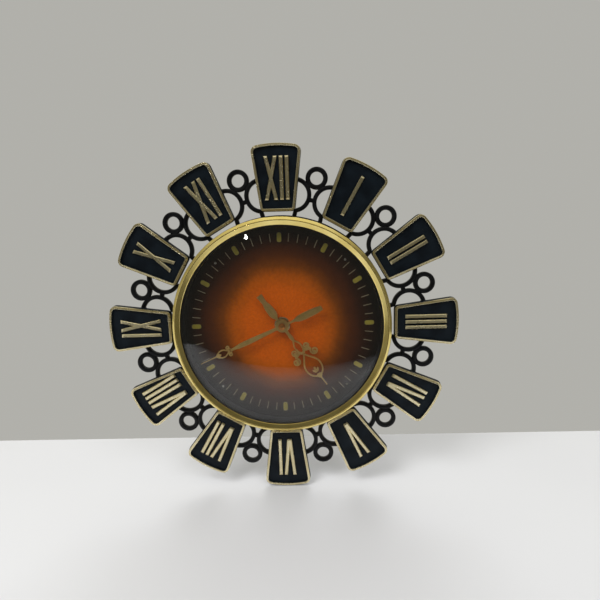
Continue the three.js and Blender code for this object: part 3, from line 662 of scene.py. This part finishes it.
def letter_outline(letter, left, right, half, trim):
    """A letter's outline, counterclockwise, with its foot towards the axis. trim shortens both ends."""
    low, high = NUMERAL_INNER + trim, NUMERAL_OUTER - trim
    tall = NUMERAL_OUTER - NUMERAL_INNER
    mid = (left + right) / 2
    if letter == "I":
        return [(left - half, low), (left + half, low), (left + half, high), (left - half, high)]
    lean = (right - left) / 2 - V_FOOT if letter == "V" else right - left
    slope = lean / tall
    if letter == "V":
        foot = V_FOOT + slope * trim + half
        top = V_FOOT + slope * (tall - trim)
        crotch = NUMERAL_INNER + (half - V_FOOT) / slope
        return [(mid - foot, low), (mid + foot, low), (mid + top + half, high), (mid + top - half, high),
                (mid, crotch), (mid - top + half, high), (mid - top - half, high)]
    reach = slope * (tall / 2 - trim)
    centre = (low + high) / 2
    rise = half / slope
    near, far = mid - reach, mid + reach
    return [(near - half, low), (near + half, low), (mid, centre - rise), (far - half, low),
            (far + half, low), (mid + half, centre), (far + half, high), (far - half, high),
            (mid, centre + rise), (near + half, high), (near - half, high), (mid - half, centre)]


def numeral(letters):
    """Raised bars with sloping sides and longer slopes at their ends."""
    widths = [0 if letter == "I" else LETTER_WIDTH for letter in letters]
    left = -(sum(widths) + LETTER_GAP * (len(letters) - 1)) / 2
    levels = [(PLATE_FIELD - 0.15, 0, 0), (NUMERAL_FRONT - 0.5, 0, 0), (NUMERAL_FRONT - 0.04, 0.9, 0.95),
              (NUMERAL_FRONT, 1, 1)]
    bars = []
    for letter, width in zip(letters, widths):
        rings = []
        for height, bevel, end in levels:
            half = NUMERAL_HALF - NUMERAL_BEVEL * bevel
            outline = letter_outline(letter, left, left + width, half, NUMERAL_END * end)
            rings.append([(x, y, height) for x, y in outline])
        bars.append(rings_to_mesh(rings, False))
        left += width + LETTER_GAP
    return together(bars)


def build_plates():
    outline = plate_outline()
    for number, letters in enumerate(NUMERALS, 1):
        name = f"numeral_plate_{number:02d}"
        turn = HOUR_STEP * number
        make(name + "_rim", plate_rim(outline), GILT, turn=turn, replaces=[name])
        make(name + "_field", plate_tray(outline), FIELD, turn=turn)
        make(name + "_numeral", numeral(letters), GILT, turn=turn)


# ---- bezel, glass and dial
BEZEL_SEAT = 79.2
BEZEL_GROOVE = 81.1
BEZEL_LIP = 77.5
OUTER_BAND = (1.65, 1.27)
INNER_BAND = (3.0, 1.43)
BATON_HALF = 1.7
BATON_ENDS = (64.35, 71.65)
BATON_ROUND = 1.5
BATON_BORDER = 0.28
MARK_HALF = 0.32
MARK_ENDS = (64.8, 71.2)
BUSH_BORE = 4
DIAL_BORE = 5.2


def bezel_profile():
    """Pairs of radius and height: a band that slopes outwards, a groove, and a band that slopes inwards."""
    outer, front, middle, lip = BEZEL_RADIUS, BEZEL_FRONT, BEZEL_GROOVE, BEZEL_LIP
    wall = [(BEZEL_SEAT, BEZEL_BACK), (outer - 0.3, BEZEL_BACK), (outer, BEZEL_BACK + 0.3),
            (outer, front - 2.6), (outer - 0.05, front - 2.3), (outer - 0.18, front - 2.0)]
    width, rise = OUTER_BAND
    outer_band = [(outer - 0.4 - width * k / 4, front - 1.75 + rise * k / 4) for k in range(5)]
    groove = [(middle + 0.3, front - 0.38), (middle + 0.18, front - 0.46), (middle + 0.1, front - 0.85),
              (middle - 0.1, front - 0.85), (middle - 0.16, front - 0.3), (middle - 0.28, front - 0.16)]
    width, fall = INNER_BAND
    inner_band = [(80.65 - width * k / 6, front - 0.14 - fall * k / 6) for k in range(7)]
    edge = [(lip + 0.08, front - 1.63), (lip, front - 1.75), (lip - 0.02, front - 1.9), (lip, front - 2.1)]
    return [*wall, *outer_band, *groove, *inner_band, *edge, (BEZEL_SEAT, front - 2.3)]


def dome(rim, low, high, steps):
    """Half a dome's profile, from its rim to the axis."""
    shares = [1 - k / steps for k in range(steps + 1)]
    return [(rim * share, low + (high - low) * (1 - share ** 2)) for share in shares]


def glass_profile():
    outer = dome(76.8, GLASS_FRONT - 4.6, GLASS_FRONT, 24)
    inner = dome(75.6, GLASS_BACK + 0.2, GLASS_FRONT - 1.6, 24)[::-1]
    rim = [(75.9, GLASS_BACK), (78.6, GLASS_BACK), (78.8, GLASS_BACK + 0.2), (78.8, GLASS_BACK + 1.4),
           (78.6, GLASS_BACK + 1.6)]
    return [*inner, *rim, *outer]


def dial_marks():
    """Sixty minutes less the twelve hours, as thin raised print."""
    inner, outer = MARK_ENDS
    marks = []
    for minute in range(60):
        if minute % 5:
            line = block((-MARK_HALF, inner, DIAL_FACE - 0.02), (MARK_HALF, outer, DIAL_FACE + 0.05), 0.04)
            marks.append(turned_round(line, 6 * minute))
    return together(marks)


def batons(grow, low, high):
    """Twelve flat pills at the hours; grow makes each larger all round."""
    half = BATON_HALF + grow
    inner, outer = BATON_ENDS[0] - grow, BATON_ENDS[1] + grow
    pill = rounded([(-half, inner), (half, inner), (half, outer), (-half, outer)], BATON_ROUND, 6)
    steps = [(0, low), (0, high - 0.08), (0.1, high)]
    return together([turned_round(loft(pill, steps), HOUR_STEP * hour) for hour in range(HOURS)])


def build_pin(name):
    """One of the small pins through the dial, with its rounded head."""
    back, front = heights(name)
    under = DIAL_FACE + 0.2
    head = [(0, back), (0.5, back), (0.5, under), (0.85, under), (0.95, under + 0.15), (0.9, under + 0.35),
            (0.6, front - 0.06), (0, front)]
    pin = lathe(head, 32, middle_of(name))
    make(name + "_turned", pin, PIN_NICKEL, replaces=[name])


def build_bush():
    """The collar round the middle of the dial."""
    back, front = heights("dial_bush")
    step = DIAL_FACE + 0.2
    collar = rounded([(BUSH_BORE, back), (4.8, back), (4.8, step), (6.4, step), (6.2, front - 0.2),
                      (BUSH_BORE, front)], 0.18, 3)
    make("dial_bush_turned", lathe(collar, 64), BRIGHT_GILT, replaces=["dial_bush"])


def build_face():
    make("bezel_ring", lathe(bezel_profile(), 256), BEZEL_GILT, replaces=["bezel"])
    glass = lathe(glass_profile(), 160)
    make("glass_dome", glass, GLASS, replaces=["glass"], crease=3)
    low, high = heights("glass_ring")
    wall = rounded([(77.1, low), (78.9, low), (78.9, high), (77.1, high)], 0.3, 3)
    make("glass_ring_wall", lathe(wall, 192), ENAMEL, replaces=["glass_ring"])
    face = [(DIAL_RADIUS * k / 8, DIAL_FACE) for k in range(7, 0, -1)]
    disc = [(DIAL_BORE, DIAL_BACK), (DIAL_RADIUS, DIAL_BACK), (DIAL_RADIUS, DIAL_FACE - 0.1),
            (DIAL_RADIUS - 0.1, DIAL_FACE), *face, (DIAL_BORE, DIAL_FACE)]
    make("dial_disc", lathe(disc, 192), DIAL, replaces=["dial"])
    make("minute_marks", dial_marks(), PRINT)
    edges = batons(BATON_BORDER, DIAL_FACE - 0.02, DIAL_FACE + 0.1)
    make("baton_edges", edges, BATON_EDGE)
    make("batons", batons(0, DIAL_FACE, DIAL_FACE + 0.3), BATON)
    for number in range(1, 5):
        build_pin(f"dial_pin_{number}")
    build_bush()


# ---- the hands, drawn pointing up


def spine(stations, low, high, steps=6):
    """A strip up the middle of a hand, from pairs of place along it and half its width there."""
    path = smooth([(0, place) for place, _ in stations], steps)
    return flat_stroke(path, smooth([half for _, half in stations], steps), low, high)


def volute(side, centre, start, turns, outer, inner, low, high, half=0.6):
    """A strip that curls inwards to a small round end. Its first angle is as drawn on the right."""
    steps = 34
    path = []
    for k in range(steps + 1):
        share = k / steps
        x, y = polar(outer + (inner - outer) * share ** 0.8, start + 360 * turns * share, centre)
        path.append((side * x, y))
    button = [(0, low), (half * 1.7, low), (half * 1.7, high - 0.15), (half * 1.4, high), (0, high)]
    return [flat_stroke(path, half, low, high, 0.14), lathe(button, 20, path[-1])]


def teardrop(point, widest, top, half_width_mm, low, high, half=0.6):
    """A closed loop that is pointed towards the axis and round at its outer end."""
    path = []
    steps = 24
    for k in range(steps + 1):
        share = k / steps
        if share < 0.5:
            t = share * 2
            path.append((half_width_mm * math.sin(t * math.pi / 2) ** 1.4, point + (widest - point) * t))
        else:
            t = (share - 0.5) * math.pi
            path.append((half_width_mm * math.cos(t), widest + (top - widest) * math.sin(t)))
    mirrored = [(-x, y) for x, y in path[1:-1]][::-1]
    return flat_stroke(path + mirrored, half, low, high, 0.16, closed=True)


def fleur(base, low, high):
    """The small three-leafed flower inside the tip of a loop."""
    leaves = [spine([(base - 3.4, 0.25), (base - 1.8, 1.0), (base, 0.5)], low, high)]
    for side in (-1, 1):
        leaf = [(side * x, base + y) for x, y in ((0.1, 1.2), (1.1, 0.4), (2.0, -0.7), (2.1, -1.7))]
        leaves.append(flat_stroke(smooth(leaf, 4), smooth([0.6, 0.8, 0.7, 0.25], 4), low, high, 0.14))
    return leaves


def boss(radius, low, high):
    profile = [(0, low), (radius, low), (radius, high - 0.2), (radius - 0.25, high), (0, high)]
    return lathe(profile, 64)


def bore(radius, low, high):
    return cylinder(radius, low - 1, high + 1, segments=48)


def hour_hand(low, high):
    tail = [(-3, 1.3), (-6.6, 1.0), (-10.4, 2.9), (-15, 3.1), (-19.2, 2.7), (-22, 1.9), (-25.5, 2.1),
            (-29.4, 2.4)]
    solids = [
        boss(5.2, low, high),
        spine([(3, 1.4), (8, 1.15), (12, 1.5), (15, 0.9)], low, high),
        teardrop(14, 20.5, 26.6, 2.7, low, high, 0.55),
        teardrop(27.6, 40.6, 49.4, 6.6, low, high, 0.62),
        *fleur(44.6, low, high),
        spine([(47.6, 1.4), (49.6, 2.3), (51.4, 0.8), (53.5, 0.55), (59.0, 0.45)], low, high),
        spine(tail, low, high),
    ]
    for side in (-1, 1):
        solids += volute(side, (5.4, 23.4), 205, -1.4, 3.2, 0.9, low, high, 0.66)
        solids += volute(side, (8.6, 30.4), 250, -1.4, 3.5, 0.9, low, high, 0.66)
        stem = [(side * x, y) for x, y in ((0.6, 27.4), (2.4, 25.9), (4.6, 26.6), (7.4, 27.1))]
        solids.append(flat_stroke(smooth(stem, 4), 0.85, low, high, 0.14))
    return united(solids, [bore(2.6, low, high)])


def minute_hand(low, high):
    tail = [(-3, 1.2), (-7, 0.8), (-11, 1.1), (-15, 2.5), (-22, 2.8), (-29, 2.5), (-34.2, 1.7)]
    solids = [
        boss(4.6, low, high),
        spine([(3, 1.3), (7, 1.2), (14, 1.5), (26, 1.9), (36, 1.8), (41, 1.1), (44.6, 0.9)], low, high),
        teardrop(45.4, 51.4, 55.8, 2.9, low, high, 0.52),
        spine([(53.0, 0.4), (54.3, 1.2), (55.6, 2.2), (57.0, 0.9), (58.6, 0.5), (70.8, 0.38)], low, high),
        spine(tail, low, high),
    ]
    for side in (-1, 1):
        solids += volute(side, (2.9, 45.8), 235, -1.15, 1.8, 0.7, low, high, 0.5)
    return united(solids, [bore(1.65, low, high)])


def hand_turn(node, reach_mm):
    """How far a hand stands clockwise from XII, from where its tip lies in the frame."""
    points = [v.co - AXIS for v in frame["nodes"][node].data.vertices]
    tip = max(points, key=lambda p: p.x * p.x + p.z * p.z)
    assert math.hypot(tip.x, tip.z) > reach_mm * MM
    return math.degrees(math.atan2(tip.x, tip.z))


def build_nut():
    """The cap nut: a flange on the minute hand and a domed top."""
    low, high = heights("hand_nut")
    flange = [(0, low + 1.2), (1.7, low + 1.2), (1.7, low), (2.6, low), (2.7, low + 0.1), (2.7, low + 0.95)]
    top = [(2.5, low + 1.2), (2.2, low + 1.3), (2.05, low + 1.75), (1.7, high - 0.35), (0.9, high - 0.07),
           (0, high)]
    nut = lathe([*flange, *top], 64)
    make("hand_nut_turned", nut, NUT_BRONZE, "minute", replaces=["hand_nut"])


def build_hands():
    make("hour_hand_stamping", hour_hand(HOUR_BACK, HOUR_FRONT), HAND_GILT, "hour",
         hand_turn("hour_hand", 50), ["hour_hand"])
    make("minute_hand_stamping", minute_hand(MINUTE_BACK, MINUTE_FRONT), HAND_GILT, "minute",
         hand_turn("minute_hand", 60), ["minute_hand"])
    build_nut()


# ---- the back
CASE_OUTER = 64
CASE_WALL = 2
CASE_RECESS = 6
CASE_FLOOR = 8
HINGE_Y = middle_of("cover_pin")[1]
HINGE_Z = sum(heights("cover_pin")) / 2
PIN_RADIUS = 0.7
PIN_HOLE = 0.8
EAR_PLACE = 10.6
EAR_HALF = 0.9
EAR_RADIUS = 1.8
BARREL_HALF = 9
BARREL_RADIUS = 1.4
COVER_BACK = 1.2
COVER_FRONT = 7.4
COVER_WALL = 1.2
REGULATOR_REACH = 11
NAIL_SHANK = 2.6
NAIL_HEAD = 4.6


def screw(name, slot_angle):
    """A pan-headed screw with a slot, facing the wall."""
    back, front = heights(name)
    radius = half_width(name)
    x, y = middle_of(name)
    head = back + 1.8
    crown = [(0, back), (radius * 0.55, back + 0.08), (radius * 0.85, back + 0.4), (radius, back + 1.0)]
    shank = [(radius, head), (1.2, head), (1.2, front - 0.6), (0.5, front), (0, front)]
    body = lathe([*crown, *shank], 40)
    groove = block((-radius - 1, -0.38, back - 1), (radius + 1, 0.38, back + 0.65), 0.05)
    turn = Matrix.Rotation(math.radians(slot_angle), 4, "Z")
    bmesh.ops.transform(groove, matrix=turn, verts=groove.verts)
    whole = moved(united([body], [groove]), x, y)
    make(name + "_turned", whole, STEEL, replaces=[name])


def case_shell():
    """The moulded drum: a rim on the wall, a recessed back, and a flange in front."""
    outer, inner, front = CASE_OUTER, CASE_OUTER - CASE_WALL, CASE_FRONT
    recess, floor = CASE_RECESS, CASE_FLOOR
    flange = half_width("back_case")
    rim = [(0, recess), (inner - 1, recess), (inner - 0.3, recess - 0.3), (inner, recess - 1), (inner, 0.4),
           (inner + 0.3, 0), (outer - 0.5, 0), (outer, 0.5)]
    brim = [(outer, front - 3), (outer + 0.3, front - 2.6), (outer + 0.9, front - 2.4),
            (flange - 0.4, front - 2.4), (flange, front - 2), (flange, front - 0.2), (flange - 0.2, front)]
    inside = [(inner + 0.2, front), (inner, front - 0.4), (inner, floor + 0.5), (inner - 0.5, floor),
              (0, floor)]
    return lathe([*rim, *brim, *inside], 160)


def hinge_ear(x):
    """One of the case's two ears for the door's pin, and the root that joins it to the back."""
    ear = rod(EAR_RADIUS, x - EAR_HALF, x + EAR_HALF, HINGE_Y, HINGE_Z)
    low = (x - EAR_HALF, HINGE_Y - 0.4, HINGE_Z)
    high = (x + EAR_HALF, HINGE_Y + EAR_RADIUS, CASE_RECESS + 0.4)
    return [ear, block(low, high, 0.15)]


def pin_hole():
    return along_x([(0, -30), (PIN_HOLE, -30), (PIN_HOLE, 30), (0, 30)], HINGE_Y, HINGE_Z)


def build_case():
    """The drum with the door's window and ears, a ridge round the knob and a slot for the regulator."""
    ridge = lathe([(13, 5.2), (13.4, 4.9), (14.2, 4.9), (14.6, 5.2), (14.6, 6.4), (13, 6.4)], 96)
    low, high = box_mm("battery_cover")
    window = block((low.x - 1, low.z + HANG_DROP - 1, 3), (high.x + 1, HINGE_Y - BARREL_RADIUS, 12), 1.2)
    slot = flat_stroke(arc(middle_of("balance_wheel"), REGULATOR_REACH, -30, 30, 16), 1.7, 3, 12, 0.05)
    holes = [cylinder(3.2, -1, 12, segments=40)]
    holes += [cylinder(1.6, 20, 30, middle_of(f"case_screw_{number}")) for number in range(1, 5)]
    holes += [cylinder(1.4, 4, 12, middle_of(f"bracket_screw_{number}")) for number in (1, 2)]
    solids = [case_shell(), ridge, *hinge_ear(-EAR_PLACE), *hinge_ear(EAR_PLACE)]
    shell = united(solids, [window, slot, pin_hole(), *holes])
    make("case_shell", shell, PLASTIC, replaces=["back_case"], crease=28)


def build_bracket():
    """A pressed steel strip with two feet, and a keyhole for the wall nail."""
    low, high = box_mm("hanging_bracket")
    bottom, top, half = low.z + HANG_DROP, high.z + HANG_DROP, high.x
    side = [(14, 0.3), (15.2, 1.5), (15.2, 4.6), (half, 4.6), (half, 5.8), (14, 5.8), (14, 1.5)]
    rounds = [1.3, 0.01, 0.35, 0.3, 0.3, 1.2, 0.3]
    outline = rounded([*side, *[(-x, z) for x, z in reversed(side)]], rounds + rounds[::-1], 4)
    rings = []
    for y in (bottom, bottom + 0.12, top - 0.12, top):
        depth = 0.1 if y in (bottom, top) else 0
        rings.append([(x, y, z) for x, z in inset(outline, depth)])
    strip = rings_to_mesh(rings, False)
    head_y = HANG_DROP - 8
    cutters = [cylinder(NAIL_HEAD, -2, 3, (0, head_y), 48), cylinder(NAIL_SHANK, -2, 3, (0, HANG_DROP), 40),
               block((-NAIL_SHANK, head_y, -2), (NAIL_SHANK, HANG_DROP, 3), 0.01)]
    cutters += [cylinder(1.45, 3, 9, middle_of(f"bracket_screw_{number}"), 32) for number in (1, 2)]
    pressing = united([strip], cutters)
    make("bracket_pressing", pressing, STEEL, replaces=["hanging_bracket"])


def build_cover():
    """The battery door: a shallow moulded tray with grip ribs and a hinge barrel, and its pin."""
    low, high = box_mm("battery_cover")
    half, bottom, top, wall = high.x, low.z + HANG_DROP, HINGE_Y - 2, COVER_WALL
    reach = BARREL_HALF
    shell = block((-half, bottom, COVER_BACK), (half, top, COVER_FRONT), 0.9)
    hollow = block((-half + wall, bottom + wall, COVER_BACK + wall), (half - wall, top - wall, 9), 0.5)
    barrel = rod(BARREL_RADIUS, -reach, reach, HINGE_Y, HINGE_Z)
    web = block((-reach, top - 0.2, 1.3), (reach, HINGE_Y, HINGE_Z), 0.1)
    ribs = []
    for k in range(5):
        foot = bottom + 2.4 + 1.6 * k
        ribs.append(block((-reach, foot, 0.75), (reach, foot + 0.7, 1.6), 0.2))
    cover = united([shell, barrel, web, *ribs], [pin_hole()])
    door = united([cover], [hollow])
    make("battery_door", door, PLASTIC, "door", replaces=["battery_cover"])
    reach = half_width("cover_pin")
    pin = rod(PIN_RADIUS, -reach, reach, HINGE_Y, HINGE_Z, 0.2)
    make("cover_pin_turned", pin, STEEL, replaces=["cover_pin"])


def build_knob():
    """The knurled knob that sets the hands."""
    low, high = heights("set_knob")
    flutes = 40
    outline = []
    for k in range(flutes * 4):
        ripple = 0.5 + 0.5 * math.cos(2 * math.pi * k / 4)
        outline.append(polar(7.45 + 0.55 * ripple, 360 * k / (flutes * 4)))
    rim = loft(outline, [(0.5, low), (0.12, low + 0.2), (0, low + 0.5), (0, high - 0.4), (0.3, high)])
    dish = lathe([(0, low + 0.35), (4.8, low + 0.3), (5.4, low - 1), (0, low - 1)], 64)
    button = [(0, low + 0.1), (1.6, low + 0.1), (1.8, low + 0.3), (1.8, low + 1), (0, low + 1)]
    knob = united([united([rim], [dish]), lathe(button, 40)])
    make("set_knob_turned", knob, BRASS, "minute", replaces=["set_knob"])


def build_battery():
    """A plain wrapped cell in its trough."""
    y, z = middle_of("battery")[1], sum(heights("battery")) / 2
    low, high = box_mm("battery")
    radius, left, right = (high.z - low.z) / 2, low.x, high.x
    base = [(0, left), (radius - 2.6, left), (radius - 1.2, left + 0.4), (radius - 0.7, left + 0.5),
            (radius - 0.2, left + 0.8), (radius, left + 1.4)]
    shoulder = [(radius, right - 3.6), (radius - 0.2, right - 2.9), (radius - 0.8, right - 2.2),
                (radius - 2, right - 2), (0, right - 2)]
    cell = along_x([*base, *shoulder], y, z, 64)
    make("battery_cell", cell, WRAP, replaces=["battery"])
    cap = [(0, right - 2.4), (3.2, right - 2.4), (3.2, right - 0.4), (2.8, right), (0, right)]
    make("battery_cap", along_x(cap, y, z, 48), STEEL)
    section = arc((0, 0), radius + 1.4, -15, 195, 40) + arc((0, 0), radius + 0.4, 195, -15, 40)
    reach = half_width("battery_trough")
    rings = [[(x, y + b, z + c) for b, c in section] for x in (-reach, -reach + 0.3, reach - 0.3, reach)]
    trough = rings_to_mesh(rings, False)
    make("battery_trough_moulding", trough, PLASTIC, replaces=["battery_trough"])


def build_back():
    build_case()
    build_bracket()
    build_cover()
    build_knob()
    build_battery()
    for number, angle in enumerate((20, 75, 140, 5), 1):
        screw(f"case_screw_{number}", angle)
    for number, angle in enumerate((35, 110), 1):
        screw(f"bracket_screw_{number}", angle)


def dress_frame():
    """Every CAD node that still shows takes the look of its slot."""
    slots = {row["node"]: row["material_slot"] for row in frame["record"]["subparts"]}
    for name, shown in frame["nodes"].items():
        shown.data.materials.clear()
        shown.data.materials.append(SLOT_LOOKS[slots[name]])


# ---- floor, light and camera
FLOOR_LEFT, FLOOR_RIGHT, FLOOR_FAR = -1.1, 0.5, 0.052
FLOOR_NEAR = -0.29
FLOOR_LIMIT = -0.42
FLOOR_BEND = (2.2, 1.1)


def floor_material():
    """A pale table top in two close tones, with painted shade darkening it along its near edge."""
    material, tree, shader, place = new_material("pale_table", roughness=0.5)
    pale = ramp(tree, noise(tree, place, 3, 2), [(0.3, (0.545, 0.555, 0.59)), (0.7, (0.575, 0.585, 0.62))])
    parts = node(tree, "SeparateXYZ", {"Vector": place}).outputs
    bend = between(tree, parts["X"], *FLOOR_BEND, -0.001, 0.001)
    curve = maths(tree, "MULTIPLY", maths(tree, "MULTIPLY", parts["X"], parts["X"]), bend)
    inward = maths(tree, "ADD", parts["Y"], curve)
    # painted shade: the floor's colour falls to a fifth of its brightness towards its curved near edge
    lit = between(tree, inward, 0.2, 1, FLOOR_NEAR - 0.002, FLOOR_NEAR + 0.058)
    tree.links.new(tinted(tree, pale, lit), shader.inputs["Base Color"])
    return material


def build_floor():
    """A plain pale table top at the clock's lowest point; its near edge curves away from the middle."""
    level = cad_bounds[0].z - 0.0005
    steps = 32
    edge = [FLOOR_LEFT + (FLOOR_RIGHT - FLOOR_LEFT) * k / steps for k in range(steps + 1)]
    near = [max(FLOOR_LIMIT, FLOOR_NEAR - FLOOR_BEND[x >= 0] * x * x) for x in edge]
    outline = [*zip(edge, near), (FLOOR_RIGHT, FLOOR_FAR), (FLOOR_LEFT, FLOOR_FAR)]
    mesh = bmesh.new()
    mesh.faces.new([mesh.verts.new((x, y, level)) for x, y in outline])
    data = data_of(mesh, "floor")
    data.materials.append(floor_material())
    add_object("floor", data)


def lamp(name, place, size, power, colour=(1, 1, 1), aim=(0, 0, -0.05), mirrored=False):
    """A soft square lamp; only a mirrored one shows in polished pieces, which otherwise show the room."""
    data = bpy.data.lights.new(name, "AREA")
    data.shape = "DISK" if mirrored else "SQUARE"
    data.size = size
    data.energy = power
    data.color = colour
    made = add_object(name, data)
    made.visible_glossy = mirrored
    made.location = place
    made.rotation_euler = (Vector(aim) - Vector(place)).to_track_quat("-Z", "Y").to_euler()


def room_light(tree):
    """Brightness of the room by direction: dim in front, brighter above, at the sides and behind."""
    way = node(tree, "SeparateXYZ", {"Vector": node(tree, "TexCoord").outputs["Generated"]})
    parts = [
        between(tree, way.outputs["Z"], 0, 0.72, 0.5, 0.95),
        between(tree, way.outputs["X"], 0.24, 0, -0.95, -0.45),
        between(tree, way.outputs["X"], 0, 0.05, 0.45, 0.95),
        between(tree, way.outputs["Y"], 0, 0.35, 0, 0.8),
    ]
    total = 0.112
    for part in parts:
        total = maths(tree, "ADD", part, total)
    return total


def build_light():
    lamp("key", (-0.75, -1.0, 1.1), 0.8, 23, (1, 0.985, 0.96))
    lamp("fill", (0.8, -1.2, 0.9), 0.8, 11, (0.98, 0.985, 1))
    lamp("rear", (0.1, 1.3, 0.8), 0.9, 12)
    lamp("glint", (-0.26, -1.103, 0.21), 0.02, 0.035, aim=(-0.023, -0.047, 0.021), mirrored=True)
    world = bpy.data.worlds.new("room")
    bpy.context.scene.world = world
    world.use_nodes = True
    tree = world.node_tree
    tree.nodes.clear()
    shown = node(tree, "Background", {"Color": (0.44, 0.435, 0.405, 1), "Strength": 1.0})
    felt = node(tree, "Background", {"Color": (1.0, 0.965, 0.82, 1), "Strength": room_light(tree)})
    seen = node(tree, "LightPath").outputs["Is Camera Ray"]
    mixed = node(tree, "MixShader", {0: seen, 1: felt.outputs[0], 2: shown.outputs[0]})
    tree.links.new(mixed.outputs[0], node(tree, "OutputWorld").inputs["Surface"])
    bpy.context.scene.view_settings.view_transform = "Standard"


def build_camera():
    """The camera stands a little above the middle of the clock and to its right, and looks slightly down."""
    elevation, azimuth, roll = math.radians(10.09), math.radians(1.87), math.radians(-1.83)
    data = bpy.data.cameras.new("camera")
    data.sensor_width = 36
    data.lens = 27.34
    camera = add_object("camera", data)
    turn = Matrix.Rotation(azimuth, 4, "Z") @ Matrix.Rotation(math.pi / 2 - elevation, 4, "X")
    tilt = Matrix.Rotation(roll, 4, "Z")
    camera.matrix_world = Matrix.Translation((0.02578, -0.38234, 0.03316)) @ turn @ tilt
    bpy.context.scene.camera = camera


build_camera()
build_light()
build_floor()
dress_frame()
build_frame()
build_plates()
build_face()
build_hands()
build_back()
